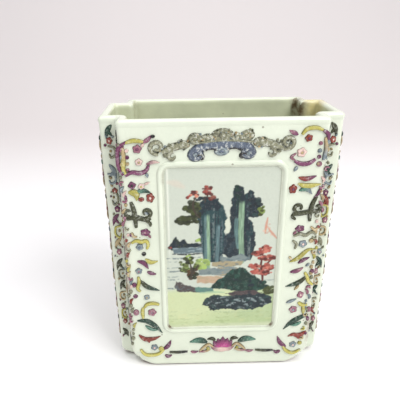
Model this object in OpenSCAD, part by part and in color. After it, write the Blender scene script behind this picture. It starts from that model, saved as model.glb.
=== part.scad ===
// Rectangular porcelain brush pot with indented corners, built from luted slabs.
// Every face carries a sunk picture panel in a moulded frame, and applied relief:
// a cloud collar above, a lotus spray below and a column of scrolls on each side.
// The origin is the centre of the foot. X runs along the wide faces, Z is up.

/* [Body] */
// Height from the foot to the lip
pot_h = 120; // [112:1:130]
// Width across the two narrow faces, without relief
pot_w = 99.2; // [96:0.2:106]
// Depth across the two wide faces, without relief
pot_d = 46; // [43:0.2:52]
// Depth of the square step at each corner
notch = 8; // [7:0.5:9]
// Thickness of the clay slabs
wall_t = 3.6; // [3.2:0.1:4.2]
// Radius of the softened upright edges
edge_r = 1.2; // [0.8:0.1:1.6]

/* [Foot and mouth] */
// Height of the foot ring
foot_h = 2.6; // [2:0.1:3.5]
// How far the foot ring sits in from the walls
foot_inset = 1.6; // [1:0.1:2.2]
// Width of the foot ring
foot_w = 3.2; // [2.4:0.1:4]
// Thickness of the floor slab
floor_t = 4.6; // [3.5:0.1:6]
// Height of the lip
lip_h = 3; // [2:0.1:4]
// How far the lip stands out from the walls
lip_out = 0.35; // [0.2:0.05:0.6]

/* [Picture panels] */
// Half the width of a wide face's frame, to the middle of its bead
frame_half = 25.4; // [23:0.1:26]
// Half the width of a narrow face's frame, to the middle of its bead
side_frame_half = 8; // [7:0.1:8.2]
// Height of the lower side of that middle line
frame_low = 20.8; // [19:0.1:22]
// Height of the upper side of that middle line
frame_high = 101.8; // [99:0.1:103]
// How much each corner of that line is cut off
frame_cut = 4.5; // [3:0.1:5]
// Width of a frame's moulding
frame_w = 3.1; // [2.8:0.1:3.6]
// How deep the picture ground is sunk
ground_sunk = 0.5; // [0.3:0.1:0.8]

/* [Relief] */
// Height of the applied scrolls and leaves
relief_h = 0.9; // [0.6:0.1:1.2]
// Height above the foot of the line that the relief is laid out from
motif_base = 4.4; // [3:0.1:5]
// Size of the relief's motifs
motif_scale = 0.955; // [0.93:0.005:0.965]

/* [Hidden] */
$fn = 48;
side_scale = 0.42;                 // size of a narrow face's collar and lotus
seam = 4;                          // each slab ends this far from its upright edge
wide_half = pot_w / 2 - notch;     // half the width of a wide face
narrow_half = pot_d / 2 - notch;   // half the width of a narrow face
body_top = pot_h - lip_h;
body_h = body_top - foot_h;
moulding_h = 0.45;                 // height of a frame's moulding
frame_lip = 1.4;                   // from the bead's middle line to the moulding's outer edge
frame_in = frame_w - frame_lip;    // and to its inner edge
bead_h = 0.95;                     // height of the bead
bead_out = 0.7;                    // the bead's reach to either side of its middle line
bead_in = 0.6;
cut_change = 2 - sqrt(2);          // how much a corner cut shrinks as its outline is drawn in
collar_line = 109;                 // heights that collars and lotus sprays are shrunk about
lotus_line = 8;
over = 0.02;                       // a cutter's overlap

// ---------- colours ----------
glaze = [0.87, 0.90, 0.84];
cream = [0.95, 0.95, 0.88];
biscuit = [0.78, 0.72, 0.62];
grey_scroll = [0.62, 0.60, 0.50];
rose = [0.69, 0.32, 0.48];
lotus_pink = [0.80, 0.40, 0.62];

// ---------- plans ----------
module round_rect(w, d, r) {
  square([w - 2 * r, d], center = true);
  square([w, d - 2 * r], center = true);
  for (sx = [-1, 1], sy = [-1, 1])
    translate([sx * (w / 2 - r), sy * (d / 2 - r)]) circle(r);
}

// The pot's plan, grown or shrunk by grow: two crossed rectangles leave a step at each corner.
module plan(grow, r) {
  round_rect(pot_w + 2 * grow, pot_d - 2 * notch + 2 * grow, r);
  round_rect(pot_w - 2 * notch + 2 * grow, pot_d + 2 * grow, r);
}

module wall_plan() {
  difference() {
    plan(0, edge_r);
    plan(-wall_t, edge_r);
  }
}

// ---------- slabs ----------
module base_slab() {
  color(glaze) translate([0, 0, foot_h]) linear_extrude(floor_t) plan(-wall_t, edge_r);
}

module foot_ring() {
  color(biscuit) linear_extrude(foot_h) difference() {
    plan(-foot_inset, edge_r);
    plan(-foot_inset - foot_w, edge_r);
  }
}

module mouth_rim() {
  color(cream) translate([0, 0, body_top]) linear_extrude(lip_h) difference() {
    plan(lip_out, edge_r + lip_out);
    plan(-wall_t, edge_r);
  }
}

// A slab stands on its face's plane, which is at y = 0 with the clay behind it, and x runs along the face.
module slab(half, frame) {
  difference() {
    translate([-half + seam, 0, foot_h]) cube([2 * (half - seam), wall_t, body_h]);
    rotate([90, 0, 0]) translate([0, 0, -ground_sunk]) linear_extrude(ground_sunk + over)
      frame_outline(frame, frame_in);
  }
}

// One indented corner: the wall's plan between two slabs.
module corner(sx, sy) {
  color(glaze) translate([0, 0, foot_h]) linear_extrude(body_h) intersection() {
    wall_plan();
    translate([sx * pot_w / 2, sy * pot_d / 2])
      square([2 * (notch + seam), 2 * (notch + seam)], center = true);
  }
}

// ---------- faces ----------
function is_wide(name) = name == "front" || name == "back";
function face_turn(name) = name == "front" ? 0 : name == "right" ? 90 : name == "back" ? 180 : 270;
function face_out(name) = is_wide(name) ? pot_d / 2 : pot_w / 2;

// Puts a face's flat work, drawn with x across and y up, on that face, thick millimetres proud.
module on_face(name, thick, sunk = 0) {
  rotate([0, 0, face_turn(name)]) translate([0, -face_out(name) + sunk, 0])
    rotate([90, 0, 0]) linear_extrude(thick) children();
}

// Relief is drawn up from its base line, and scaled to the face.
module relief(name) {
  on_face(name, relief_h) translate([0, motif_base]) scale(motif_scale) children();
}

module face_slab(name) {
  color(glaze) rotate([0, 0, face_turn(name)]) translate([0, -face_out(name), 0])
    slab(is_wide(name) ? wide_half : narrow_half, is_wide(name) ? frame_half : side_frame_half);
}

// A frame's outline with cut corners, drawn in by inset from the middle line of its bead.
module frame_outline(half, inset) {
  w = half - inset;
  lo = frame_low + inset;
  hi = frame_high - inset;
  cut = min(frame_cut - cut_change * inset, w / 2);
  polygon([
    [-w + cut, lo], [w - cut, lo], [w, lo + cut], [w, hi - cut],
    [w - cut, hi], [-w + cut, hi], [-w, hi - cut], [-w, lo + cut]
  ]);
}

// The part of a frame between two of those outlines
module frame_band(half, outer, inner) {
  difference() {
    frame_outline(half, outer);
    frame_outline(half, inner);
  }
}

module panel_frame(name) {
  half = is_wide(name) ? frame_half : side_frame_half;
  color(cream) {
    on_face(name, moulding_h) frame_band(half, -frame_lip, frame_in);
    on_face(name, bead_h) frame_band(half, -bead_out, bead_in);
  }
}

// ---------- relief motifs, flat ----------
// A round bud
module bud(x, y, r) translate([x, y]) circle(r);

// A straight stem with round ends
module stem(x0, y0, x1, y1, w) {
  length = norm([x1 - x0, y1 - y0]);
  translate([x0, y0]) rotate(atan2(y1 - y0, x1 - x0)) translate([0, -w / 2]) square([length, w]);
  bud(x0, y0, w * 0.56);
  bud(x1, y1, w * 0.56);
}

// A pointed leaf between two points
module leaf(x0, y0, x1, y1, w) {
  length = norm([x1 - x0, y1 - y0]);
  bow = (length * length / 4 - w * w / 4) / w;
  translate([(x0 + x1) / 2, (y0 + y1) / 2]) rotate(atan2(y1 - y0, x1 - x0)) intersection() {
    translate([0, bow]) circle(bow + w / 2, $fn = 96);
    translate([0, -bow]) circle(bow + w / 2, $fn = 96);
  }
}

// An open scroll about (x, y), from angle a0 to a1, with a round eye at each end
module curl(x, y, r, a0, a1, w) {
  reach = 3 * r;
  steps = ceil((a1 - a0) / 60);
  translate([x, y]) {
    intersection() {
      difference() {
        circle(r + w / 2);
        circle(max(0.2, r - w / 2));
      }
      polygon(concat([[0, 0]], [for (i = [0 : steps])
        let (a = a0 + (a1 - a0) * i / steps) [reach * cos(a), reach * sin(a)]]));
    }
    for (a = [a0, a1]) translate([r * cos(a), r * sin(a)]) circle(w * 0.58);
  }
}

// ---------- a wide face's scroll column, on the side where x is positive ----------
module crown_scroll() {
  curl(36, 106.5, 5.4, -95, 95, 2.2);
  stem(36, 112.4, 32.3, 113, 1.9);
  leaf(32.6, 112.4, 26.6, 115.6, 1.9);
  stem(35.6, 100.6, 31.4, 100.4, 1.9);
  leaf(32.2, 99.8, 25.8, 104.4, 1.9);
  bud(35, 109.4, 1.5);
  bud(32.6, 105.4, 1.3);
}

module berry_spray() {
  leaf(39.6, 94.8, 33.2, 92.6, 2);
  bud(37.2, 90, 2);
  stem(35, 91, 31.2, 91.2, 1.3);
  bud(34.4, 87.6, 1.6);
  bud(30.4, 88.6, 1.7);
  bud(40.4, 88.8, 1.2);
}

module dark_fret() {
  stem(38.4, 85.6, 36.8, 74.8, 1.8);
  curl(33.4, 80.6, 2.6, -100, 170, 1.4);
  stem(40.2, 79, 32.6, 78, 1.8);
  curl(40, 82, 1.1, -90, 130, 0.9);
  leaf(34, 77.4, 29.6, 74.2, 1.4);
}

module hook_spray() {
  bud(34, 71.6, 1.8);
  leaf(33.4, 71, 30.4, 67.8, 1.4);
  stem(39, 68, 35.2, 67.8, 1.6);
  curl(34.3, 65.2, 2.5, -60, 100, 1.5);
  bud(36.6, 64, 1.1);
  leaf(40.6, 66.4, 40.6, 57.4, 2);
}

module rose_spray() {
  bud(34.6, 60.8, 1);
  stem(38, 56.8, 34.6, 56.2, 1.6);
  leaf(35, 56.8, 33, 52.6, 1.7);
  bud(31.4, 57, 1.6);
  leaf(31, 57.2, 27.8, 56.2, 1.1);
  bud(37.6, 52, 1.2);
  leaf(35.6, 51.6, 29.4, 50, 1.6);
}

module olive_leaf_spray() {
  curl(40.4, 45.6, 2.8, 120, 235, 1.5);
  bud(40.4, 45, 1.1);
  leaf(37.4, 47.4, 28.4, 41.6, 2.7);
  leaf(33.4, 43.2, 33.2, 39.8, 1.1);
  leaf(39.8, 40.8, 39, 35.6, 1.3);
  leaf(35.8, 38.6, 32.2, 36.4, 1.3);
}

module yellow_hook() {
  stem(34.6, 33.2, 29.4, 33.4, 1.8);
  stem(36.6, 31.4, 36.3, 26.6, 1.7);
  bud(32.6, 29, 1.8);
  bud(40, 29.2, 1.5);
}

module green_leaf_spray() {
  leaf(38.6, 24.8, 27.4, 17.2, 3.4);
  leaf(40.6, 24.4, 36.4, 24.6, 1.4);
  leaf(40.4, 16.4, 28.6, 14.6, 2.8);
  bud(34.6, 13.4, 1.4);
  leaf(40.8, 22, 40.6, 12.6, 1.2);
}

module foot_scroll() {
  bud(32.2, 8, 1.4);
  stem(37, 4.8, 31, 4.4, 1.7);
  curl(31, 7, 2.7, -95, 0, 1.5);
  leaf(25.4, 11.8, 25.2, 4.4, 1.8);
  bud(25.2, 4.2, 1.2);
  stem(23, 4.6, 16.6, 4.4, 1.1);
  stem(14.8, 4.5, 11.4, 4.3, 1);
}

module scroll_column() {
  crown_scroll();
  berry_spray();
  dark_fret();
  hook_spray();
  rose_spray();
  olive_leaf_spray();
  yellow_hook();
  green_leaf_spray();
  foot_scroll();
}

// A narrow face's column: five alike groups of a small scroll, a leaf and buds
module narrow_column() {
  pitch = 20;
  first = 14;
  for (i = [0 : 4]) translate([12, first + i * pitch]) {
    curl(-0.4, 9, 1.6, i % 2 == 0 ? -150 : 30, i % 2 == 0 ? 90 : 270, 1);
    leaf(0.6, 6.6, -0.8, 0.8, 1.8);
    bud(0.7, 13.2, 1);
    leaf(-0.8, 13.6, 0.6, 17.6, 1.3);
    bud(-1.2, 4.8, 0.8);
  }
}

module scrolls(name, side) {
  color(rose) relief(name) mirror([side < 0 ? 1 : 0, 0])
    if (is_wide(name)) scroll_column(); else narrow_column();
}

// ---------- cloud collar ----------
module half_collar() {
  curl(0, 112.4, 2.6, -10, 190, 1.6);
  bud(4.4, 112.6, 1.9);
  bud(9.6, 112.8, 2.4);
  bud(13.2, 110.6, 2.1);
  stem(14.6, 110.6, 22.4, 108.8, 1.9);
  curl(26.2, 109.6, 2.2, -160, 140, 1.5);
  leaf(22.8, 109.6, 19.2, 104.4, 1.9);
  bud(19.8, 105.6, 1.1);
  stem(0, 109.4, 11.2, 109, 2.4);
  bud(0, 107.6, 2.4);
  stem(11.4, 108.4, 9.6, 105.8, 2.6);
}

module collar_shape() {
  half_collar();
  mirror([1, 0]) half_collar();
}

// Collars and lotus sprays are drawn full size about a point, and shrunk for the narrow faces.
module sized(name, y) {
  k = is_wide(name) ? 1 : side_scale;
  translate([0, y]) scale(k) translate([0, -y]) children();
}

module cloud_collar(name) {
  color(grey_scroll) relief(name) sized(name, collar_line) collar_shape();
}

// ---------- lotus spray ----------
module half_lotus() {
  leaf(0.6, 4.8, 4.8, 9.4, 2.4);
  leaf(3.2, 5, 7.6, 7.4, 1.4);
  leaf(6.8, 10.2, 14.2, 10.4, 2.6);
  leaf(2.8, 11, 6.4, 11.6, 1.2);
  curl(8.4, 7, 1.6, 200, 350, 0.9);
}

module lotus_shape() {
  leaf(0, 4.6, 0, 12.4, 3.4);
  half_lotus();
  mirror([1, 0]) half_lotus();
}

module lotus_spray(name) {
  color(lotus_pink) relief(name) sized(name, lotus_line) lotus_shape();
}

// ---------- corner sprays ----------
// Leaves and buds up one strip of an indented corner, where x runs across the step
module strip_spray() {
  pitch = 18.5;
  first = 7;
  for (i = [0 : 5]) translate([notch / 2, first + i * pitch]) {
    lean = i % 2 == 0 ? 1 : -1;
    leaf(-1.8 * lean, 0, 1.2 * lean, 5.4, 2);
    bud(1.4 * lean, 8, 1.2);
    leaf(-1.6 * lean, 13.4, 0.4 * lean, 8.6, 1.5);
    bud(0.8 * lean, 14.6, 0.9);
  }
}

// Both faces of one step carry the same strip.
module corner_spray(sx, sy) {
  color(rose) mirror([sx < 0 ? 1 : 0, 0, 0]) mirror([0, sy > 0 ? 1 : 0, 0]) {
    translate([wide_half, -pot_d / 2 + notch, 0]) rotate([90, 0, 0])
      linear_extrude(relief_h) strip_spray();
    translate([wide_half, -pot_d / 2, 0]) rotate([90, 0, 90])
      linear_extrude(relief_h) strip_spray();
  }
}

base_slab();
foot_ring();
mouth_rim();
face_slab("front");  // front_wall
face_slab("back");  // back_wall
face_slab("left");  // left_wall
face_slab("right");  // right_wall
corner(-1, -1);  // corner_front_left
corner(1, -1);  // corner_front_right
corner(-1, 1);  // corner_back_left
corner(1, 1);  // corner_back_right
panel_frame("front");  // front_panel_frame
panel_frame("back");  // back_panel_frame
panel_frame("left");  // left_panel_frame
panel_frame("right");  // right_panel_frame
cloud_collar("front");  // front_cloud_collar
cloud_collar("back");  // back_cloud_collar
cloud_collar("left");  // left_cloud_collar
cloud_collar("right");  // right_cloud_collar
lotus_spray("front");  // front_lotus_spray
lotus_spray("back");  // back_lotus_spray
lotus_spray("left");  // left_lotus_spray
lotus_spray("right");  // right_lotus_spray
scrolls("front", -1);  // front_scrolls_left
scrolls("front", 1);  // front_scrolls_right
scrolls("back", 1);  // back_scrolls_left
scrolls("back", -1);  // back_scrolls_right
scrolls("left", 1);  // left_scrolls_front
scrolls("left", -1);  // left_scrolls_back
scrolls("right", -1);  // right_scrolls_front
scrolls("right", 1);  // right_scrolls_back
corner_spray(-1, -1);  // corner_spray_front_left
corner_spray(1, -1);  // corner_spray_front_right
corner_spray(-1, 1);  // corner_spray_back_left
corner_spray(1, 1);  // corner_spray_back_right
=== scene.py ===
"""The finish and fine shape of a rectangular porcelain brush pot with indented corners.

The CAD nodes give every place and size; each one is replaced by a modelled, glazed and enamelled piece.
Shapes are worked out in millimetres and scaled to metres when a piece is made.
"""
import math
import random

import bpy
import numpy as np
from mathutils import Matrix, Vector


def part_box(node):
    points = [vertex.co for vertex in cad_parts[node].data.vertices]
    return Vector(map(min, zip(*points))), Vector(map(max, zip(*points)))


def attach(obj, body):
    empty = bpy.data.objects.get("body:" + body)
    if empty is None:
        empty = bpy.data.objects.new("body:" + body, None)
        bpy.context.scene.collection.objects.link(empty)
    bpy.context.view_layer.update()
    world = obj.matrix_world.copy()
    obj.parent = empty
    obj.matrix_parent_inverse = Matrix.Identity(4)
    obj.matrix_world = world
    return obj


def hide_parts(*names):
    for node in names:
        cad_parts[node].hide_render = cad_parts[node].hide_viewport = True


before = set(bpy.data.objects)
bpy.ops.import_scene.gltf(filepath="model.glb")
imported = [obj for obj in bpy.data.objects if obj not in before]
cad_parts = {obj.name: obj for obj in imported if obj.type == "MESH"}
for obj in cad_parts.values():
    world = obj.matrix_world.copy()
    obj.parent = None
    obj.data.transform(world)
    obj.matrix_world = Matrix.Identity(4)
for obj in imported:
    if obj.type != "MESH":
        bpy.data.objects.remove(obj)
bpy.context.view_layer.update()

bl_info = {
    "name": "Porcelain Brush Pot",
    "version": (1, 0, 0),
    "blender": (4, 5, 0),
    "location": "View3D > Sidebar > Brush Pot",
    "description": "Builds a slab-built porcelain brush pot with sprigged relief and painted panels",
    "category": "Add Mesh",
}

METRES = 0.001                      # metres in a millimetre


# ---------------------------------------------------------------- places taken from the frame

def node_box(node):
    """A CAD node's lowest and highest corners, in millimetres."""
    low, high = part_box(node)
    return np.array(low) / METRES, np.array(high) / METRES


front_low, front_high = node_box("front_wall")
_, narrow_high = node_box("right_wall")
strip_low, _ = node_box("corner_spray_front_right")
rim_low, rim_high = node_box("mouth_rim")
floor_low, floor_high = node_box("base_slab")
bead_low, bead_high = node_box("front_panel_frame")
_, side_bead_high = node_box("right_panel_frame")

FACE_Y = -front_low[1]              # the wide faces stand at -FACE_Y and FACE_Y
FACE_X = narrow_high[0]             # the narrow faces stand at -FACE_X and FACE_X
STEP_X = strip_low[0]               # where a wide face ends and the corner steps back
NOTCH = FACE_X - STEP_X
STEP_Y = FACE_Y - NOTCH
SEAM_X = front_high[0]              # where a wide slab ends against a corner piece
SEAM_Y = narrow_high[1]
WALL = front_high[1] + FACE_Y       # thickness of a slab
FOOT_TOP = floor_low[2]
FLOOR_TOP = floor_high[2]
RIM_LOW = rim_low[2]
POT_TOP = rim_high[2]
FRAME_BAND = 1.4                    # from a bead's middle line to the edge of its moulding
BEAD_X = bead_high[0] - FRAME_BAND
BEAD_LOW = bead_low[2] + FRAME_BAND
BEAD_HIGH = bead_high[2] - FRAME_BAND
SIDE_BEAD_X = side_bead_high[1] - FRAME_BAND
PANEL_ROUND = 4.2                   # corner radius of a bead's middle line
SHEET_MARGIN = 0.9                  # from that line in to the edge of the painted sheet
FACE_TURN = {"front": 0, "right": 90, "back": 180, "left": 270}
WIDE_FACES = ("front", "back")


# ---------------------------------------------------------------- what a user would change

def length(name, millimetres, description):
    """A size property, in metres."""
    return bpy.props.FloatProperty(name=name, description=description, default=millimetres * METRES,
                                   min=0.0, unit="LENGTH", precision=5)


def colour(name, shown, description):
    """A colour property, as the eye sees it on a screen."""
    return bpy.props.FloatVectorProperty(name=name, description=description, default=shown, size=3,
                                         min=0.0, max=1.0, subtype="COLOR_GAMMA")


class BrushPotSizes(bpy.types.PropertyGroup):
    """Sizes of the fine shape."""
    arris_round: length("Arris radius", 1.4, "Radius of the upright outer edges")
    step_round: length("Step radius", 2.0, "Radius inside the indented corners")
    foot_round: length("Foot rounding", 2.4, "How far the middle of a face curves in to the foot")
    corner_round: length("Corner rounding", 8.4, "How far the wide faces' corners curve in to the foot")
    corner_rise: length("Corner rise", 12.5, "How high the wide faces' corners start to curve in")
    narrowing: length("Narrowing", 2.0, "How much the narrow faces lean in from lip to foot")
    lip_bulge: length("Lip bulge", 0.3, "How far the lip swells past the walls")
    ground_depth: length("Ground depth", 0.5, "How deep the picture ground is sunk")
    bead_height: length("Bead height", 0.75, "How proud the bead stands round a picture")
    relief_height: length("Relief height", 0.85, "How proud the sprigged relief stands")
    paint_height: length("Paint height", 0.14, "How thick the painted enamel lies")


class BrushPotColours(bpy.types.PropertyGroup):
    """Colours of the glaze and enamels."""
    glaze: colour("Glaze", (0.89, 0.915, 0.835), "Clear glaze over the white body")
    cool_glaze: colour("Cool glaze", (0.85, 0.88, 0.80), "Glaze where it lies thicker")
    inner_glaze: colour("Inner glaze", (0.84, 0.86, 0.74), "Glaze inside the pot")
    # a darker brown than bare biscuit, giving the dark line along the foot's bottom edge
    biscuit: colour("Biscuit", (0.62, 0.53, 0.43), "Unglazed foot")
    # the stain colour also paints the shade in the steps' inner corners and the frames' grooves
    stain: colour("Stain", (0.36, 0.27, 0.14), "Old brown dirt")
    yellowed: colour("Yellowed glaze", (0.86, 0.80, 0.58), "Glaze stained by handling")
    arris_line: colour("Arris line", (0.50, 0.38, 0.27), "Worn brown line on the upright edges")
    yellow: colour("Yellow enamel", (0.73, 0.70, 0.36), "Scrolls and leaves")
    plum: colour("Plum enamel", (0.45, 0.24, 0.36), "Scrolls and buds")
    rose: colour("Rose enamel", (0.60, 0.40, 0.46), "Petals")
    lotus_pink: colour("Lotus pink enamel", (0.76, 0.30, 0.56), "Lotus petals")
    blush: colour("Blush enamel", (0.90, 0.78, 0.74), "Pale petals")
    brick: colour("Brick enamel", (0.56, 0.25, 0.20), "Leaves and petals")
    pine: colour("Dark green enamel", (0.17, 0.28, 0.23), "Leaves")
    jade: colour("Jade enamel", (0.36, 0.54, 0.46), "Leaves")
    olive: colour("Olive enamel", (0.27, 0.28, 0.19), "Crosses and leaves")
    slate: colour("Grey enamel", (0.50, 0.55, 0.57), "Small flowers")
    tan: colour("Tan enamel", (0.72, 0.64, 0.48), "Scrolls and stems")
    cloud: colour("Cloud enamel", (0.55, 0.55, 0.45), "Stippled cloud collar")
    sky_blue: colour("Blue enamel", (0.37, 0.41, 0.47), "Inside of the cloud collar")
    ink: colour("Ink", (0.16, 0.15, 0.15), "Drawn outlines")
    paper: colour("Paper", (0.985, 0.98, 0.98), "Sweep under the pot")
    # painted shade: the sweep darkened far behind the pot, where less light reaches
    far_paper: colour("Far paper", (0.93, 0.905, 0.90), "Sweep far behind the pot")


# ---------------------------------------------------------------- small sums

def linear(shown):
    """Screen colour to the renderer's linear colour."""
    return tuple(c / 12.92 if c <= 0.04045 else ((c + 0.055) / 1.055) ** 2.4 for c in shown)


def smooth(value):
    """0 to 1 with soft ends."""
    value = np.clip(value, 0.0, 1.0)
    return value * value * (3.0 - 2.0 * value)


def mix(a, b, amount):
    """Part of the way from a to b."""
    return a + (b - a) * amount


def spline(points, spacing):
    """A smooth curve through the points, with one point about every spacing."""
    p = np.array(points, float)
    p = np.vstack([2 * p[0] - p[1], p, 2 * p[-1] - p[-2]])
    out = []
    for i in range(1, len(p) - 2):
        steps = max(2, int(np.linalg.norm(p[i + 1] - p[i]) / spacing))
        for t in np.arange(steps) / steps:
            out.append(0.5 * (2 * p[i] + (p[i + 1] - p[i - 1]) * t
                              + (2 * p[i - 1] - 5 * p[i] + 4 * p[i + 1] - p[i + 2]) * t ** 2
                              + (3 * p[i] - p[i - 1] - 3 * p[i + 1] + p[i + 2]) * t ** 3))
    out.append(p[-2])
    return np.array(out)


# ---------------------------------------------------------------- making pieces

class Clay:
    """Collects the points and faces of one piece, with a tint for each point."""

    def __init__(self):
        self.points, self.tints, self.faces, self.count = [], [], [], 0

    def add(self, points, faces, tint=(1.0, 1.0, 1.0)):
        """Points, faces that count from the first of them, and one tint or a tint for each point."""
        points = np.asarray(points, float).reshape(-1, 3)
        tints = np.broadcast_to(np.asarray(tint, float), points.shape)
        self.points.append(points)
        self.tints.append(tints)
        self.faces.extend([tuple(int(i) + self.count for i in face) for face in faces])
        self.count += len(points)

    def loft(self, sections, tint):
        """A closed solid through a list of closed sections of equal size, with a tint for each point."""
        sections = np.asarray(sections, float)
        rows, across = sections.shape[:2]
        points = np.vstack([sections.reshape(-1, 3), sections[0].mean(0), sections[-1].mean(0)])
        faces = grid_faces(rows, across, wrap=True)
        first, last = rows * across, rows * across + 1
        for j in range(across):
            k = (j + 1) % across
            faces.append((first, k, j))
            faces.append((last, (rows - 1) * across + j, (rows - 1) * across + k))
        self.add(points, faces, np.vstack([tint.reshape(-1, 3), tint[0].mean(0), tint[-1].mean(0)]))

    def all_points(self):
        """Every point so far, in millimetres."""
        return np.vstack(self.points)


def grid_faces(rows, across, wrap=False, flip=False, start=0):
    """Quads of a grid of points, row by row; wrap joins the last column to the first."""
    faces = []
    for i in range(rows - 1):
        for j in range(across if wrap else across - 1):
            k = (j + 1) % across
            quad = (start + i * across + j, start + i * across + k,
                    start + (i + 1) * across + k, start + (i + 1) * across + j)
            faces.append(quad[::-1] if flip else quad)
    return faces


def edge_loop(rows, across):
    """The points round the edge of a grid, in order."""
    return (list(range(across)) + [i * across + across - 1 for i in range(1, rows)]
            + [(rows - 1) * across + j for j in range(across - 2, -1, -1)]
            + [i * across for i in range(rows - 2, 0, -1)])


SLAB_CREASE, RING_CREASE, RELIEF_CREASE = 35, 50, 60    # edges sharper than this many degrees stay sharp


def shown(name, data):
    """An object in the scene for a mesh, a lamp or a camera."""
    thing = bpy.data.objects.new(name, data)
    bpy.context.scene.collection.objects.link(thing)
    return thing


def make_piece(name, clay, material, replaced=(), crease=SLAB_CREASE, wear=None):
    """A smooth-shaded object from the clay, riding on the pot."""
    mesh = bpy.data.meshes.new(name)
    mesh.from_pydata((leaned_in(clay.all_points()) * METRES).tolist(), [], clay.faces)
    if wear is None:
        paint_points(mesh, "tint", np.column_stack([np.vstack(clay.tints), np.ones(clay.count)]))
    else:
        paint_points(mesh, "wear", wear)
    mesh.materials.append(material)
    mesh.validate()
    mesh.shade_smooth()
    mesh.set_sharp_from_angle(angle=math.radians(crease))
    piece = shown(name, mesh)
    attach(piece, "root")
    if replaced:
        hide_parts(*replaced)


def leaned_in(points):
    """Points moved as the narrow faces lean in towards the foot."""
    points = points.copy()
    beyond = np.maximum(np.abs(points[:, 0]) - STEP_X, 0.0) / NOTCH
    drop = np.clip((RIM_LOW - points[:, 2]) / RIM_LOW, 0, 1)
    points[:, 0] -= np.sign(points[:, 0]) * size("narrowing") * beyond * drop
    return points


def paint_points(mesh, name, values):
    """A colour attribute with four values for each point."""
    attribute = mesh.color_attributes.new(name=name, type="FLOAT_COLOR", domain="POINT")
    attribute.data.foreach_set("color", np.asarray(values, np.float32).ravel())


def size(name):
    """A size from the panel, in millimetres."""
    return getattr(bpy.context.scene.brush_pot_sizes, name) / METRES


def enamel(name):
    """A colour from the panel, made linear."""
    return np.array(linear(getattr(bpy.context.scene.brush_pot_colours, name)))


def shade(name, dim=1.0):
    """The same colour, dimmed and with alpha."""
    return (*(enamel(name) * dim), 1.0)


# ---------------------------------------------------------------- the pot's outline

SEAM_STEPS = (0.0, 0.35, 0.7)       # stations on the way from a seam to an arris
BEND_STEPS, RUN_STEPS = 6, 6        # steps round a bend, and along a flat, of an indented corner
SLAB_SPACING, RING_SPACING = 0.7, 3.0   # between the stations of a slab, and of a ring round the pot


def corner_stations():
    """One indented corner, at the front right: points of the outline at the walls' face, and how each
    moves when the outline is drawn in by a millimetre."""
    r, q = size("arris_round"), size("step_round")
    stations = []
    for f in SEAM_STEPS:
        stations.append((mix(SEAM_X, STEP_X - r, f), -FACE_Y, -f, 1.0))

    def bend(cx, cy, radius, start, turn):
        for i in range(BEND_STEPS + 1):
            a = math.radians(start + turn * i / BEND_STEPS)
            stations.append((cx + radius * math.cos(a), cy + radius * math.sin(a), -1.0, 1.0))

    def run(x0, y0, x1, y1):
        for i in range(1, RUN_STEPS):
            stations.append((mix(x0, x1, i / RUN_STEPS), mix(y0, y1, i / RUN_STEPS), -1.0, 1.0))

    bend(STEP_X - r, -FACE_Y + r, r, -90, 90)
    run(STEP_X, -FACE_Y + r, STEP_X, -STEP_Y - q)
    bend(STEP_X + q, -STEP_Y - q, q, 180, -90)
    run(STEP_X + q, -STEP_Y, FACE_X - r, -STEP_Y)
    bend(FACE_X - r, -STEP_Y + r, r, -90, 90)
    for f in SEAM_STEPS[::-1]:
        stations.append((FACE_X, mix(-SEAM_Y, -STEP_Y + r, f), -1.0, f))
    return np.array(stations)


def face_stations(half, out, spacing, name):
    """The straight stations of a slab between its seams, on the named face."""
    count = int(round(2 * half / spacing)) + 1
    along = np.linspace(-half, half, count)
    flat = np.stack([along, np.full(count, -out), np.zeros(count), np.ones(count)], 1)
    return turned(flat, FACE_TURN[name])


def quarter_turn(degrees):
    """Cosine and sine of a turn by quarters."""
    a = math.radians(degrees)
    return round(math.cos(a)), round(math.sin(a))


def turned(stations, degrees):
    """Stations turned about the pot's middle."""
    c, s = quarter_turn(degrees)
    x, y, vx, vy = stations.T
    return np.stack([c * x - s * y, s * x + c * y, c * vx - s * vy, s * vx + c * vy], 1)


def corner_at(sx, sy):
    """The stations of one corner, in the order that runs anticlockwise round the pot."""
    stations = corner_stations() * np.array([sx, -sy, sx, -sy])
    return stations if sx * sy < 0 else stations[::-1]


def whole_outline():
    """The outline all the way round, anticlockwise from the front face."""
    parts = []
    for name, half, out, sx, sy in (("front", SEAM_X, FACE_Y, 1, -1), ("right", SEAM_Y, FACE_X, 1, 1),
                                    ("back", SEAM_X, FACE_Y, -1, 1), ("left", SEAM_Y, FACE_X, -1, -1)):
        parts += [face_stations(half, out, RING_SPACING, name)[1:-1], corner_at(sx, sy)]
    return np.vstack(parts)


WIDE_REACH, NARROW_REACH = 11.0, 8.0    # how far from a corner the foot curves in more
NARROW_ROUND, NARROW_RISE = 2.4, 3.6    # how much more, in and up, at the narrow faces' corners


def foot_rounding(stations):
    """How far in, and from how high, each station curves to the foot: more at the corners."""
    x, y = np.abs(stations[:, 0]), np.abs(stations[:, 1])
    wide = smooth(1.0 - (np.abs(x - STEP_X) + np.abs(y - FACE_Y)) / WIDE_REACH)
    narrow = smooth(1.0 - (np.abs(x - FACE_X) + np.abs(y - STEP_Y)) / NARROW_REACH)
    foot = size("foot_round")
    return (foot + (size("corner_round") - foot) * wide + NARROW_ROUND * narrow,
            foot + (size("corner_rise") - foot) * wide + NARROW_RISE * narrow)


def curve_row(stations, step):
    """Inset and height of one row of the curve in to the foot; step 0 is its top."""
    inset, rise = foot_rounding(stations)
    a = math.radians(90.0 * step / ROUND_STEPS)
    return inset * (1 - math.cos(a)), rise * (1 - math.sin(a))


# ---------------------------------------------------------------- the slab faces

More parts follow.
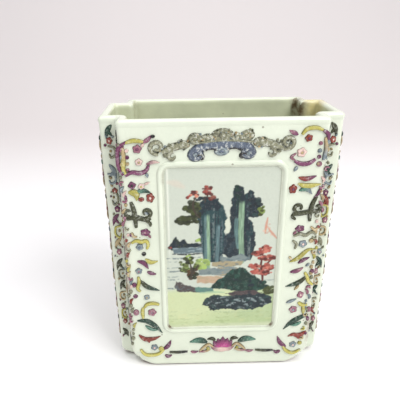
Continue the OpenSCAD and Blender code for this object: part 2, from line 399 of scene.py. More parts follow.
def rounded_box_distance(x, z, half, low, high, radius):
    """Distance outside a rounded rectangle; negative inside."""
    dx = np.abs(x) - (half - radius)
    dz = np.abs(z - (low + high) / 2) - ((high - low) / 2 - radius)
    outside = np.hypot(np.maximum(dx, 0), np.maximum(dz, 0))
    return outside + np.minimum(np.maximum(dx, dz), 0) - radius


SINK_START, SINK_RUN = 0.3, 0.9     # where inside a bead's middle line the ground sinks, and over how far
HAIR = 0.01                         # too small to count as beyond a place


def ground_sink(stations, z):
    """How deep the surface is sunk for the picture ground."""
    wide = np.abs(stations[:, 1]) > STEP_Y + HAIR
    along = np.where(wide, stations[:, 0], stations[:, 1])
    half = np.where(wide, BEAD_X, SIDE_BEAD_X)
    distance = rounded_box_distance(along[None, :], z, half[None, :], BEAD_LOW, BEAD_HIGH, PANEL_ROUND)
    return size("ground_depth") * smooth((-distance - SINK_START) / SINK_RUN)


def unevenness(points):
    """A hand-made surface's slow swelling, in millimetres."""
    x, y, z = points[..., 0], points[..., 1], points[..., 2]
    return (0.10 * np.sin(x / 13.0 + z / 29.0 + 0.6) * np.cos(z / 17.0 - y / 11.0)
            + 0.05 * np.sin(x / 5.3 - z / 8.1 + y / 6.0))


ROUND_STEPS = 10                    # rows in the curve in to the foot
FOOT_SPLIT = 6                      # how many of them belong to the wall, and the rest to the foot ring
WALL_STEPS = 138                    # rows up the wall above the curve


def outer_surface(stations):
    """Points of the outer face from the foot ring's edge to the rim: rows by stations by 3."""
    rows = []
    for i in range(FOOT_SPLIT, -1, -1):
        inset, height = curve_row(stations, i)
        rows.append(np.column_stack([stations[:, :2] + stations[:, 2:4] * inset[:, None], height]))
    start = rows[-1][:, 2]
    for i in range(1, WALL_STEPS + 1):
        rows.append(np.column_stack([stations[:, :2], mix(start, RIM_LOW, i / WALL_STEPS)]))
    points = np.array(rows)
    sink = ground_sink(stations, points[..., 2]) - fade(points) * unevenness(points)
    points[..., :2] += stations[None, :, 2:4] * sink[..., None]
    return points


def fade(points):
    """1 on the walls, easing to 0 at the rim and foot, so that the pieces meet."""
    z = points[..., 2]
    return smooth((RIM_LOW - z) / 6.0) * smooth((z - 1.0) / 8.0)


def wall_clay(stations):
    """A closed slab from its outer face to the inside of the pot."""
    outer = outer_surface(stations)
    rows, across = outer.shape[:2]
    inner = outer.copy()
    inner[..., :2] = stations[None, :, :2] + stations[None, :, 2:4] * WALL
    inner[..., 2] = FOOT_TOP + ((outer[..., 2] - outer[0, :, 2])
                                * (RIM_LOW - FOOT_TOP) / (RIM_LOW - outer[0, :, 2]))
    clay = Clay()
    count = rows * across
    faces = grid_faces(rows, across) + grid_faces(rows, across, flip=True, start=count)
    border = edge_loop(rows, across)
    for a, b in zip(border, border[1:] + border[:1]):
        faces.append((b, a, a + count, b + count))
    clay.add(np.vstack([outer.reshape(-1, 3), inner.reshape(-1, 3)]), faces)
    return clay


def ring_clay(profile):
    """A closed ring round the outline. The profile gives its section's insets and heights, either one
    value for the whole row or one for each station."""
    stations = whole_outline()
    rows = []
    for inset, height in profile(stations):
        rows.append(np.column_stack([stations[:, :2] + stations[:, 2:4] * np.reshape(inset, (-1, 1)),
                                     np.broadcast_to(height, len(stations))]))
    points = np.array(rows)
    across = len(stations)
    clay = Clay()
    faces = grid_faces(len(rows), across, wrap=True)
    last = (len(rows) - 1) * across
    for j in range(across):
        k = (j + 1) % across
        faces.append((last + j, last + k, k, j))
    clay.add(points, faces)
    return clay


def rim_profile(_):
    """The lip's section: a soft swelling outside, a round top and a roll in to the inner wall."""
    bulge, top = size("lip_bulge"), POT_TOP - RIM_LOW
    section = spline([(0, 0), (-bulge * 0.8, top * 0.36), (-bulge * 0.5, top * 0.66),
                      (WALL * 0.17, top * 0.93), (WALL * 0.45, top), (WALL * 0.74, top * 0.93),
                      (WALL * 0.95, top * 0.66), (WALL, top * 0.3), (WALL, 0)], 0.3)
    return [(inset, RIM_LOW + height) for inset, height in section]


FOOT_WIDTH = 2.4                    # how wide the ring is that the pot stands on


def foot_profile(stations):
    """The foot ring's section: the end of the wall's curve, a flat foot and its inner side."""
    rows = [curve_row(stations, i) for i in range(FOOT_SPLIT, ROUND_STEPS + 1)]
    top_inset, top = rows[0]
    top = np.maximum(top, FOOT_TOP)
    inset = rows[-1][0]
    rows += [(inset + FOOT_WIDTH * 0.6, 0.0), (inset + FOOT_WIDTH, 0.35),
             (inset + FOOT_WIDTH + 0.4, top), (top_inset + 0.6, top)]
    return rows[::-1]


FILLET, FILLET_STEPS = 2.4, 6       # the glaze that fills the floor's edge
FLOOR_BITE = 0.3                    # how far the floor runs into the walls
FLOOR_DISH = ((0.8, 0.1), (0.6, 0.2), (0.4, 0.3), (0.15, 0.35))   # size and drop of the floor's ovals


def floor_clay():
    """The floor slab, with a fillet of glaze where it meets the walls and a slight dish in the middle."""
    stations = whole_outline()
    across = len(stations)
    edge = WALL - FLOOR_BITE

    def row(inset, height):
        return np.column_stack([stations[:, :2] + stations[:, 2:4] * inset, np.full(across, height)])

    rows = [row(edge, FOOT_TOP)]
    for i in range(FILLET_STEPS + 1):
        a = math.radians(90.0 * i / FILLET_STEPS)
        rows.append(row(edge + (FILLET + FLOOR_BITE) * (1 - math.cos(a)),
                        FLOOR_TOP + FILLET * (1 - math.sin(a))))
    under, flat = rows[0], rows[-1]
    turn = np.arctan2(stations[:, 1] / FACE_Y, stations[:, 0] / FACE_X)
    least = FLOOR_DISH[-1][0]
    for shrink, drop in FLOOR_DISH:
        oval = np.column_stack([shrink * STEP_X * np.cos(turn), shrink * STEP_Y * np.sin(turn)])
        ring = mix(oval, flat[:, :2] * shrink, (shrink - least) / (1 - least))
        rows.append(np.column_stack([ring, flat[:, 2] - drop]))
    points = np.vstack([np.array(rows).reshape(-1, 3), [[0, 0, rows[-1][0, 2]]],
                        under * np.array([0.5, 0.5, 1.0]), [[0, 0, FOOT_TOP]]])
    faces = grid_faces(len(rows), across, wrap=True)
    centre, last = len(rows) * across, (len(rows) - 1) * across
    for j in range(across):
        k = (j + 1) % across
        faces.append((last + j, last + k, centre))
        faces.append((k, j, centre + 1 + j, centre + 1 + k))
        faces.append((centre + 1 + k, centre + 1 + j, centre + 1 + across))
    clay = Clay()
    clay.add(points, faces)
    return clay


# ---------------------------------------------------------------- placing things on a face

def on_face(points, face, out=None):
    """Points given as (along, proud, up) on a face, put in their place round the pot."""
    out = out or (FACE_Y if face in WIDE_FACES else FACE_X)
    points = np.asarray(points, float).reshape(-1, 3)
    c, s = quarter_turn(FACE_TURN[face])

    def placed(proud):
        x, y = points[:, 0], -out - proud
        return np.column_stack([c * x - s * y, s * x + c * y, points[:, 2]])

    level = placed(np.zeros(len(points)))
    return placed(points[:, 1] + fade(level) * unevenness(level))


# ---------------------------------------------------------------- relief

RELIEF_ROOT = 0.35                  # how far relief is pressed into the wall
OUTLINE = 0.36                      # how dark the sides of a sprig are, against its top
BLOOM_STEPS = 30                    # points round a flower
MOTIF_BASE, MOTIF_SCALE = 4.4, 0.955    # the height that a pattern starts from, and its scale
HAND_SCALE, HAND_SHIFT = 0.952, 0.85    # a pattern laid by hand: its width, how far left it sits,
HAND_LEAN, HAND_SPREAD, HAND_TIP = 0.0129, 0.00033, 0.0227      # and how it leans, widens and tips up


def laid(points, by_hand):
    """Pattern places to millimetres on the face. A pattern laid by hand is not quite square to it."""
    points = np.array(points, float)
    x, z = points[:, 0].copy(), points[:, 2].copy()
    points[:, 0] = MOTIF_SCALE * x
    points[:, 2] = MOTIF_BASE + MOTIF_SCALE * z
    if by_hand:
        points[:, 0] = HAND_SCALE * x + HAND_LEAN * z - HAND_SHIFT + HAND_SPREAD * x * z
        points[:, 2] += HAND_TIP * x
    return points


def unlaid(along, up, by_hand):
    """Pattern places of points on the face: laid() the other way round."""
    x, z = along / MOTIF_SCALE, (up - MOTIF_BASE) / MOTIF_SCALE
    for _ in range(4 if by_hand else 0):
        x = (along + HAND_SHIFT - HAND_LEAN * z) / (HAND_SCALE + HAND_SPREAD * z)
        z = (up - MOTIF_BASE - HAND_TIP * x) / MOTIF_SCALE
    return x, z


class Sprigs(Clay):
    """Relief pressed on to a face, in pattern places: x across from the middle, z up."""

    def __init__(self, face, across=1.0, middle=0.0, mirror=False, out=None, seed=1, by_hand=False):
        super().__init__()
        self.face, self.across, self.middle, self.out = face, across, middle, out
        self.by_hand = by_hand
        self.flip = -1.0 if mirror else 1.0
        self.dice = random.Random(seed)

    def press(self, sections, tint):
        """A loft in pattern places, pressed on to the face."""
        sections = np.array(sections, float)
        shape = sections.shape
        points = sections.reshape(-1, 3)
        points[:, 0] *= self.across
        points = laid(points, self.by_hand)
        points[:, 0] = self.middle + self.flip * points[:, 0]
        sections = on_face(points, self.face, self.out).reshape(shape)
        if self.flip < 0:
            sections, tint = sections[::-1], tint[::-1]
        self.loft(sections, tint)

    def ridge(self, path, widths, heights, colour, tip=None, vein=0.0):
        """A rounded ridge along a path, dark at its sides, its colour running to the tip's; a painted
        highlight lies along its crest and painted shade down its slopes.
        """
        path = np.asarray(path, float)
        ahead = np.gradient(path, axis=0)
        ahead /= np.linalg.norm(ahead, axis=1)[:, None] + 1e-9
        side = np.column_stack([ahead[:, 1], -ahead[:, 0]])
        across = np.array([-1.0, -1.0, -0.86, -0.5, 0.0, 0.5, 0.86, 1.0, 1.0])
        proud = np.array([0.0, 0.1, 0.62, 0.95, 1.0 - vein, 0.95, 0.62, 0.1, 0.0])
        # drawn outline at the edges, painted shade on the slopes, painted highlight on the crest
        outline_shade_and_highlight = np.array([OUTLINE, OUTLINE, 0.62, 1.05, 1.15 - vein, 1.05, 0.62, OUTLINE, OUTLINE])
        reach = across[None, :, None] * np.reshape(widths, (-1, 1, 1))
        places = path[:, None, :] + side[:, None, :] * reach
        up = proud[None, :] * np.reshape(heights, (-1, 1))
        up[:, [0, -1]] = -RELIEF_ROOT
        sections = np.stack([places[..., 0], up, places[..., 1]], -1)
        start, end = enamel(colour), enamel(tip or colour)
        run = np.linspace(0, 1, len(path))[:, None, None]
        tint = mix(start, end, smooth(run * 1.4 - 0.2)) * outline_shade_and_highlight[None, :, None]
        self.press(sections, tint * self.dice.uniform(0.88, 1.12))

    def stroke(self, colour, width, *points, tip=None, taper=0.45):
        """A scroll stem through the points, a little thinner at its ends."""
        path = spline(points, 0.55)
        t = np.linspace(0, 1, len(path))
        swell = taper + (1 - taper) * np.sin(np.pi * np.clip(t, 0.02, 0.98)) ** 0.5
        self.ridge(path, width / 2 * swell, size("relief_height") * (0.55 + 0.45 * swell), colour, tip)

    def curl(self, colour, width, centre, radius, start, turn):
        """A scroll end: a spiral that closes on its centre. Angles in degrees."""
        steps = max(8, int(abs(turn) / 18))
        points = []
        for i in range(steps + 1):
            t = i / steps
            a = math.radians(start + turn * t)
            r = radius * (1 - 0.68 * t)
            points.append((centre[0] + r * math.cos(a), centre[1] + r * math.sin(a)))
        path = np.array(points)
        t = np.linspace(0, 1, len(path))
        self.ridge(path, width / 2 * (0.55 + 0.45 * np.sin(np.pi * np.clip(t + 0.15, 0, 1)) + 0.15 * t),
                   size("relief_height") * np.full(len(t), 0.9), colour)

    def leaf(self, colour, width, *points, tip=None):
        """A pointed leaf with a vein, from its stalk to its tip."""
        path = spline(points, 0.5)
        t = np.linspace(0, 1, len(path))
        swell = np.sin(np.pi * np.clip(t, 0.03, 0.97) ** 0.8) ** 0.75
        self.ridge(path, width / 2 * swell, size("relief_height") * (0.4 + 0.6 * swell), colour, tip,
                   vein=0.25)

    def bloom(self, colour, centre, radius, petals, heart, squash=1.0):
        """A small open flower: a lobed dome with a raised heart, dark at its edge, with painted highlights on
        the dome and the heart and painted shade in the ring round the heart.
        """
        turn = self.dice.uniform(0, 6.28)
        a = np.arange(BLOOM_STEPS) * 2 * math.pi / BLOOM_STEPS
        lobes = 1 - 0.2 * np.abs(np.sin(petals * a / 2 + turn)) ** 2.5
        rings, tints = [], []
        core, petal = enamel(heart), enamel(colour)
        # dark drawn edge; painted highlight on the dome (1.1) and the heart (1.15); painted shade in the ring
        # round the heart (0.6)
        for r, h, tint in ((1.0, None, petal * OUTLINE), (1.0, 0.12, petal * OUTLINE),
                           (0.86, 0.62, petal * 0.8), (0.62, 0.85, petal * 1.1), (0.4, 0.72, petal),
                           (0.3, 0.66, petal * 0.6), (0.24, 0.9, core), (0.1, 1.0, core * 1.15)):
            reach = radius * r * (lobes if r > 0.3 else 1.0)
            up = -RELIEF_ROOT if h is None else h * size("relief_height")
            rings.append(np.column_stack([centre[0] + reach * np.cos(a), np.full(BLOOM_STEPS, up),
                                          centre[1] + reach * squash * np.sin(a)]))
            tints.append(np.broadcast_to(tint, (BLOOM_STEPS, 3)))
        self.press(rings, np.array(tints) * self.dice.uniform(0.9, 1.1))

    def bud(self, colour, centre, radius, squash=1.0):
        """A round bead of enamel."""
        self.bloom(colour, centre, radius, 0, colour, squash)


# ---------------------------------------------------------------- the pattern, in pattern places

def left_column(s):
    """The scroll column left of a picture, from the top down."""
    s.stroke("yellow", 2.0, (-39.4, 112.6), (-36, 113.4), (-32.2, 112.8))
    s.leaf("rose", 2.0, (-32.5, 112.4), (-30.4, 113.6), (-29, 115.4), tip="plum")
    s.bud("ink", (-28.4, 114.9), 1.2, 0.75)
    s.stroke("plum", 1.8, (-39.0, 113.0), (-42.2, 110.6), (-42.8, 106.5), (-42.6, 102.0), (-41.0, 98.8))
    s.stroke("tan", 2.2, (-40.6, 110.6), (-40.4, 106.0), (-40.8, 101.5), (-39.9, 99.2), tip="yellow")
    for z, tone in ((109.3, "blush"), (106.4, "plum"), (103.6, "tan"), (101.0, "rose")):
        s.bud(tone, (-39.0, z), 0.95)
    s.bloom("rose", (-34.8, 109.8), 2.0, 5, "plum")
    s.leaf("blush", 1.6, (-33.2, 110.6), (-32.0, 112.2))
    s.stroke("plum", 2.1, (-40.2, 98.4), (-37.4, 99.8), (-34.0, 99.3), (-31.4, 100.6), (-30.6, 102.6))
    s.bloom("blush", (-34.4, 104.2), 1.7, 5, "tan")
    s.leaf("rose", 1.7, (-31.4, 103.2), (-28.4, 104.0), (-26.0, 103.6), tip="blush")
    s.leaf("slate", 1.5, (-31.6, 99.2), (-31.0, 97.2))
    s.bloom("plum", (-37.7, 94.0), 1.8, 4, "ink")
    s.bloom("blush", (-33.9, 93.4), 1.5, 5, "yellow")
    s.leaf("blush", 1.2, (-32.8, 94.2), (-30.2, 95.2))
    s.leaf("yellow", 3.4, (-39.4, 91.0), (-36.4, 90.2), (-36.0, 87.0))
    s.leaf("jade", 2.2, (-36.0, 91.0), (-33.0, 91.4), (-30.2, 90.4), tip="pine")
    s.bloom("brick", (-30.4, 88.0), 1.9, 5, "blush", squash=1.25)
    s.bud("brick", (-34.2, 87.4), 1.6, 0.8)
    s.leaf("plum", 1.4, (-40.8, 89.8), (-40.4, 86.4))
    s.stroke("olive", 2.2, (-38.6, 86.4), (-37.6, 82.4), (-37.2, 78.0), (-37.0, 74.2))
    s.stroke("olive", 2.4, (-41.0, 78.4), (-37.0, 79.0), (-32.6, 77.8), (-30.6, 78.4))
    s.curl("olive", 1.7, (-32.4, 81.0), 2.4, 260, 330)
    s.curl("olive", 1.6, (-39.9, 81.6), 2.0, 290, -260)
    s.stroke("olive", 1.6, (-32.6, 77.2), (-31.0, 76.0), (-30.8, 74.6))
    s.leaf("slate", 1.4, (-33.4, 81.4), (-31.4, 80.4))
    s.bloom("plum", (-33.2, 71.6), 2.3, 5, "rose", squash=0.85)
    s.leaf("rose", 1.2, (-32.0, 70.6), (-30.8, 68.8))
    s.stroke("tan", 1.3, (-39.0, 71.8), (-38.4, 69.8), (-36.8, 69.6))
    s.stroke("yellow", 1.9, (-39.4, 66.6), (-37.4, 67.6), (-35.0, 67.0), (-33.0, 67.4), (-32.2, 65.4),
             (-32.8, 63.4))
    s.bloom("slate", (-36.0, 64.4), 1.8, 5, "sky_blue")
    s.bud("plum", (-39.2, 70.6), 1.0)
    s.bud("ink", (-34.3, 60.8), 1.2)
    s.leaf("plum", 2.2, (-37.4, 57.2), (-34.6, 56.2), (-32.6, 53.0))
    s.leaf("yellow", 2.2, (-33.8, 58.2), (-31.4, 56.4), (-28.2, 56.8))
    s.bloom("slate", (-37.0, 52.0), 1.7, 5, "rose")
    s.leaf("plum", 1.9, (-33.2, 51.6), (-31.4, 50.6), (-29.2, 50.0))
    s.stroke("yellow", 1.9, (-37.4, 49.0), (-37.2, 46.0), (-38.0, 42.6), (-36.8, 41.0))
    s.bud("plum", (-39.4, 44.6), 1.4, 1.2)
    s.leaf("olive", 2.3, (-36.6, 47.0), (-33.6, 43.4), (-28.0, 41.0), tip="pine")
    s.bud("plum", (-39.2, 38.4), 1.3)
    s.bloom("slate", (-34.0, 37.6), 1.5, 4, "tan")
    s.stroke("yellow", 2.0, (-35.4, 31.8), (-34.0, 33.6), (-31.0, 34.0), (-28.4, 33.2))
    s.stroke("yellow", 1.9, (-36.0, 32.0), (-36.4, 29.0), (-36.2, 25.8))
    s.bloom("rose", (-31.9, 28.9), 2.2, 5, "plum")
    s.bud("rose", (-39.4, 29.2), 1.4, 1.3)
    s.leaf("pine", 2.6, (-39.2, 24.4), (-34.6, 24.0), (-30.6, 21.0), (-27.4, 16.8))
    s.leaf("jade", 1.8, (-35.4, 21.4), (-32.4, 19.2), (-28.6, 18.8))
    s.leaf("brick", 2.6, (-38.8, 16.0), (-35.8, 13.4), (-31.4, 13.6), (-28.4, 14.8))
    s.leaf("brick", 1.9, (-34.4, 13.4), (-33.8, 11.2))
    s.stroke("yellow", 2.0, (-38.4, 7.2), (-36.6, 4.4), (-33.4, 3.4), (-29.4, 4.2), (-26.8, 6.8))
    s.bloom("slate", (-31.5, 8.2), 1.9, 5, "blush")
    s.leaf("plum", 2.3, (-27.2, 6.6), (-24.8, 8.8), (-23.3, 12.0))
    s.leaf("plum", 2.0, (-26.4, 3.2), (-24.8, 2.2), (-23.0, 3.0))
    s.bud("yellow", (-28.2, 7.2), 1.4)


def right_column(s):
    """The scroll column right of a picture, from the top down."""
    s.stroke("yellow", 2.0, (30.4, 113.2), (32.2, 115.4), (35.6, 115.8), (38.4, 114.8))
    s.leaf("plum", 2.0, (28.8, 113.2), (26.8, 114.2), (25.2, 115.2), tip="rose")
    s.bloom("brick", (33.2, 111.6), 1.7, 5, "plum")
    s.stroke("plum", 1.8, (38.6, 114.6), (40.6, 113.0), (41.0, 110.6))
    s.stroke("tan", 1.8, (39.8, 111.6), (40.6, 107.0), (40.0, 102.0), tip="slate")
    for z, tone in ((109.2, "rose"), (106.0, "slate"), (103.4, "plum"), (100.4, "tan")):
        s.bud(tone, (38.2, z), 1.0)
    s.bloom("blush", (31.0, 105.6), 2.2, 5, "tan")
    s.leaf("rose", 1.4, (28.8, 105.4), (27.0, 103.6), (29.4, 101.8))
    s.stroke("plum", 2.1, (28.4, 102.0), (31.4, 100.6), (34.4, 100.8), (36.8, 102.4))
    s.leaf("slate", 1.7, (29.8, 99.6), (28.6, 97.4))
    s.bud("rose", (38.6, 100.2), 1.2)
    s.leaf("brick", 2.3, (30.8, 94.6), (34.2, 93.8), (38.2, 95.0), tip="plum")
    s.leaf("yellow", 2.5, (30.8, 91.8), (34.6, 90.6), (40.4, 91.2))
    s.bloom("brick", (29.0, 89.4), 1.9, 5, "plum", squash=1.2)
    s.leaf("jade", 2.3, (31.6, 88.6), (34.6, 89.2), (37.2, 86.8), tip="slate")
    s.leaf("plum", 1.6, (40.8, 89.8), (39.6, 86.6), (38.0, 85.0))
    s.stroke("olive", 2.2, (39.4, 85.6), (38.0, 82.4), (37.4, 78.0), (37.6, 74.0))
    s.stroke("olive", 2.4, (41.4, 78.6), (37.6, 78.6), (33.4, 77.8), (30.0, 77.6))
    s.curl("olive", 1.7, (32.4, 80.4), 2.4, 280, -330)
    s.curl("olive", 1.6, (40.2, 80.4), 1.7, 250, 260)
    s.stroke("olive", 1.6, (31.0, 78.6), (30.0, 76.4), (31.4, 75.0))
    s.bloom("plum", (33.8, 70.4), 2.2, 5, "rose", squash=0.8)
    s.leaf("rose", 1.3, (32.4, 69.2), (31.0, 67.6))
    s.stroke("cloud", 1.7, (31.4, 66.6), (34.0, 67.8), (36.6, 67.0), (39.0, 68.6), (41.2, 67.6))
    s.stroke("tan", 1.4, (38.4, 71.2), (40.2, 69.6), (41.6, 70.6))
    s.bloom("slate", (35.9, 62.7), 2.0, 5, "blush")
    s.stroke("cloud", 1.4, (31.2, 64.6), (33.0, 62.8), (32.6, 60.4))
    s.bud("tan", (39.4, 64.2), 1.1)
    s.leaf("yellow", 2.2, (31.0, 53.6), (34.6, 55.6), (38.4, 59.4), (42.0, 59.8))
    s.leaf("plum", 1.9, (34.8, 52.8), (37.0, 54.4), (39.6, 55.6))
    s.stroke("tan", 1.2, (30.4, 56.4), (31.6, 55.0))
    s.leaf("plum", 2.2, (31.6, 48.2), (34.8, 48.8), (37.4, 50.4), tip="rose")
    s.leaf("slate", 1.3, (38.4, 51.0), (40.0, 52.6))
    s.leaf("olive", 2.4, (39.4, 45.6), (36.0, 42.4), (30.2, 40.4), tip="pine")
    s.stroke("yellow", 1.9, (38.4, 47.8), (39.6, 45.4), (40.6, 42.8), (42.6, 41.0))
    s.bud("plum", (41.6, 48.2), 1.2, 1.2)
    s.leaf("tan", 1.4, (36.4, 41.0), (34.4, 38.4))
    s.bloom("rose", (37.6, 35.6), 1.7, 4, "blush", squash=1.2)
    s.leaf("slate", 1.7, (31.4, 31.4), (34.4, 32.6), (36.0, 33.4))
    s.stroke("yellow", 2.1, (37.0, 31.4), (39.0, 29.8), (41.4, 30.0))
    s.stroke("yellow", 1.9, (39.4, 30.2), (39.8, 27.6), (40.0, 25.2))
    s.bloom("rose", (35.0, 27.4), 2.1, 5, "slate")
    s.bud("rose", (42.4, 27.2), 1.2, 1.3)
    s.leaf("pine", 2.6, (42.4, 24.2), (38.4, 22.4), (34.4, 19.6), (31.4, 16.0))
    s.leaf("jade", 1.9, (39.6, 20.0), (37.0, 18.6), (34.6, 18.2))
    s.leaf("brick", 2.6, (42.6, 14.4), (39.4, 12.2), (36.4, 12.6), (34.0, 11.6))
    s.leaf("brick", 1.8, (38.4, 12.2), (39.6, 9.8))
    s.bloom("slate", (36.9, 6.6), 1.9, 5, "blush")
    s.leaf("plum", 2.3, (33.6, 5.4), (30.6, 7.8), (28.8, 11.8))
    s.stroke("yellow", 2.0, (32.0, 6.0), (33.8, 3.0), (37.2, 1.4), (41.0, 3.2))
    s.bud("yellow", (40.2, 7.4), 1.2)
    s.leaf("plum", 2.0, (31.0, 3.0), (29.0, 2.2), (27.6, 3.4))


def cloud_collar(s):
    """The stippled cloud scroll below the lip, with blue lobes hanging inside it."""
    middle = -1.0

    def stipple(x, z, reach, rise, count):
        """Small beads scattered over a cloud head."""
        for _ in range(count):
            a, r = s.dice.uniform(0, 2 * math.pi), math.sqrt(s.dice.random())
            bead = s.dice.choice(("cloud", "cloud", "tan", "olive", "slate"))
            s.bud(bead, (x + reach * r * math.cos(a), z + rise * r * math.sin(a)),
                  s.dice.uniform(0.42, 0.72))

    def lobe(x, z, r, squash, count):
        """A cloud head: a low dome with a dark edge, stippled all over."""
        s.bloom("cloud", (x, z), r, 0, "cloud", squash=squash)
        stipple(x, z, r * 0.9, r * squash * 0.9, count)

    s.stroke("sky_blue", 4.6, (middle - 12.6, 107.4), (middle - 8.0, 109.8), (middle, 110.6),
             (middle + 8.6, 109.8), (middle + 12.6, 107.2))
    s.bloom("slate", (middle - 0.2, 107.6), 3.9, 0, "sky_blue", squash=0.66)
    s.bloom("sky_blue", (middle - 10.6, 106.4), 3.4, 0, "slate", squash=0.9)
    s.bloom("sky_blue", (middle + 10.6, 106.4), 3.3, 0, "slate", squash=0.9)
    for k in (-1, 1):
        def at(right, up):
            return middle + k * right, up

        s.curl("ink", 1.2, at(8.4, 105.0), 1.7, 90 - k * 60, k * 240)
        s.stroke("ink", 0.9, at(1.6, 107.9), at(4.6, 108.9), at(7.6, 107.6))
        s.stroke("cloud", 3.4, at(13.0, 111.0), at(18.6, 110.2), at(24.0, 108.0))
        stipple(*at(18.6, 110.2), 5.8, 1.5, 24)
        s.curl("cloud", 1.8, at(19.8, 106.0), 2.1, 90 + k * 20, -k * 300)
        s.bud("cloud", at(22.8, 106.6), 1.2)
        s.curl("cloud", 2.0, at(26.0, 110.2), 3.1, 250 - k * 30, k * 420)
        stipple(*at(26.0, 110.2), 3.0, 2.8, 8)
        lobe(*at(15.4, 110.8), 3.3, 0.7, 14)
        lobe(*at(5.8, 113.2), 3.2, 0.7, 14)
    lobe(middle, 114.3, 4.8, 0.64, 28)
    lobe(middle - 10.8, 113.4, 3.5, 0.8, 18)
    lobe(middle + 9.8, 113.8, 3.5, 0.8, 18)
    s.stroke("cloud", 1.3, (middle - 12.4, 111.0), (middle - 6.4, 111.8), (middle, 112.2),
             (middle + 6.4, 111.8), (middle + 12.4, 111.0))


def lotus(s):
    """The lotus at the foot of a picture, on its scrolling stems."""
    middle = 2.1
    for k in (-1, 1):
        def at(right, up):
            return middle + k * right, up

        s.leaf("pine", 3.4, at(7.6, 9.8), at(11.4, 11.2), at(16.2, 10.4), tip="jade")
        s.leaf("olive", 1.9, at(3.6, 11.0), at(5.4, 12.0), at(7.6, 11.6))
        s.stroke("tan", 1.5, at(4.6, 7.0), at(6.8, 8.6), at(9.0, 7.2), at(11.2, 4.8))
        s.stroke("tan", 1.3, at(6.0, 5.6), at(8.4, 4.6), at(11.6, 4.4), tip="rose")
        s.bud("yellow", at(7.2, 6.2), 0.9)
        s.leaf("blush", 3.0, at(0.4, 5.4), at(3.2, 5.8), at(6.0, 7.8), tip="rose")
        s.leaf("lotus_pink", 3.2, at(0.8, 7.0), at(3.0, 8.2), at(4.6, 10.6), tip="plum")
        s.leaf("lotus_pink", 3.2, at(0.2, 7.0), at(1.6, 9.0), at(2.4, 11.8), tip="plum")
    s.leaf("lotus_pink", 3.6, (middle, 6.2), (middle, 9.4), (middle, 12.8), tip="plum")
    s.leaf("blush", 3.4, (middle - 4.2, 6.2), (middle, 5.4), (middle + 4.2, 6.2))
    s.leaf("rose", 1.5, (-13.6, 4.6), (-11.6, 4.2), (-9.8, 4.6), tip="plum")
    s.stroke("olive", 1.3, (-24.2, 4.9), (-20.0, 4.5), (-15.2, 4.7), tip="ink")
    s.stroke("olive", 1.3, (18.4, 4.1), (22.6, 3.5), (27.2, 3.5), tip="ink")
    s.leaf("rose", 1.4, (13.6, 4.0), (15.8, 3.6), (17.6, 4.0))


def edge_trail(s, side):
    """The small mixed sprigs that run up beside a wide face's edge."""
    tones = ("tan", "rose", "cloud", "plum", "slate", "brick", "tan", "blush", "cloud", "yellow")
    z = 11.0
    while z < 112:
        tone = s.dice.choice(tones)
        x = side * s.dice.uniform(40.4, 42.4)
        if s.dice.random() < 0.45:
            s.leaf(tone, 1.5, (x, z - 1.2), (x + side * 0.4, z), (x - side * 0.9, z + 1.6))
        elif s.dice.random() < 0.6:
            s.bud(tone, (x, z), s.dice.uniform(0.7, 1.05), 1.2)
        else:
            s.curl(tone, 0.9, (x - side * 0.3, z), 1.1, s.dice.uniform(0, 360), 250)
        z += s.dice.uniform(2.1, 3.3)


def narrow_column(s):
    """The slim sprig column beside a narrow face's picture, drawn about its own middle line."""
    tones = ("plum", "jade", "brick", "olive", "rose", "slate", "pine", "yellow")
    for i in range(13):
        z = 9.6 + 8.2 * i
        side = -1 if i % 2 else 1
        tone, other = tones[(i * 3) % 8], tones[(i * 5 + 2) % 8]
        s.stroke("tan", 1.1, (side * 1.2, z - 3.8), (-side * 1.4, z), (side * 1.2, z + 3.8))
        s.leaf(tone, 2.0, (-side * 0.8, z - 0.4), (side * 0.8, z + 1.0), (side * 2.2, z + 0.2))
        s.bloom(other, (-side * 0.9, z + 3.2), 1.35, 5, "blush")


def step_strip(s, tones):
    """The sprigs up one face of an indented corner, drawn about its own middle line."""
    for i, (tone, height, kind) in enumerate(tones):
        k = s.dice.uniform(0.72, 0.98) * (-1 if i % 2 else 1)
        x, z = s.dice.uniform(-0.6, 0.6), height + s.dice.uniform(-0.7, 0.7)
        tall = s.dice.uniform(0.75, 1.05)

        def at(right, up):
            return x + k * right, z + tall * up

        if kind == "leaf":
            s.leaf(tone, 2.2, at(-1.9, 3.4), at(0.5, 0.6), at(1.7, -3.2))
            s.leaf(tone, 1.4, at(0.2, 0.4), at(-1.8, -2.2))
        elif kind == "scroll":
            s.stroke(tone, 1.15, at(1.9, 3.6), at(-1.5, 2.6), at(-1.7, -1.0), at(0.6, -2.4),
                     at(1.3, -0.4))
            s.bud("tan", at(0.5, 1.0), 0.7)
        else:
            s.bloom(tone, at(0.4, 0.0), 1.5, 5, "blush", squash=1.2)
            s.leaf(s.dice.choice(("tan", "cloud", "slate")), 1.1, at(-0.6, 1.8), at(-1.9, 3.4))
        s.bud(s.dice.choice(("tan", "cloud", "rose", "plum", "slate")), at(-2.2, -2.4),
              s.dice.uniform(0.5, 0.8))


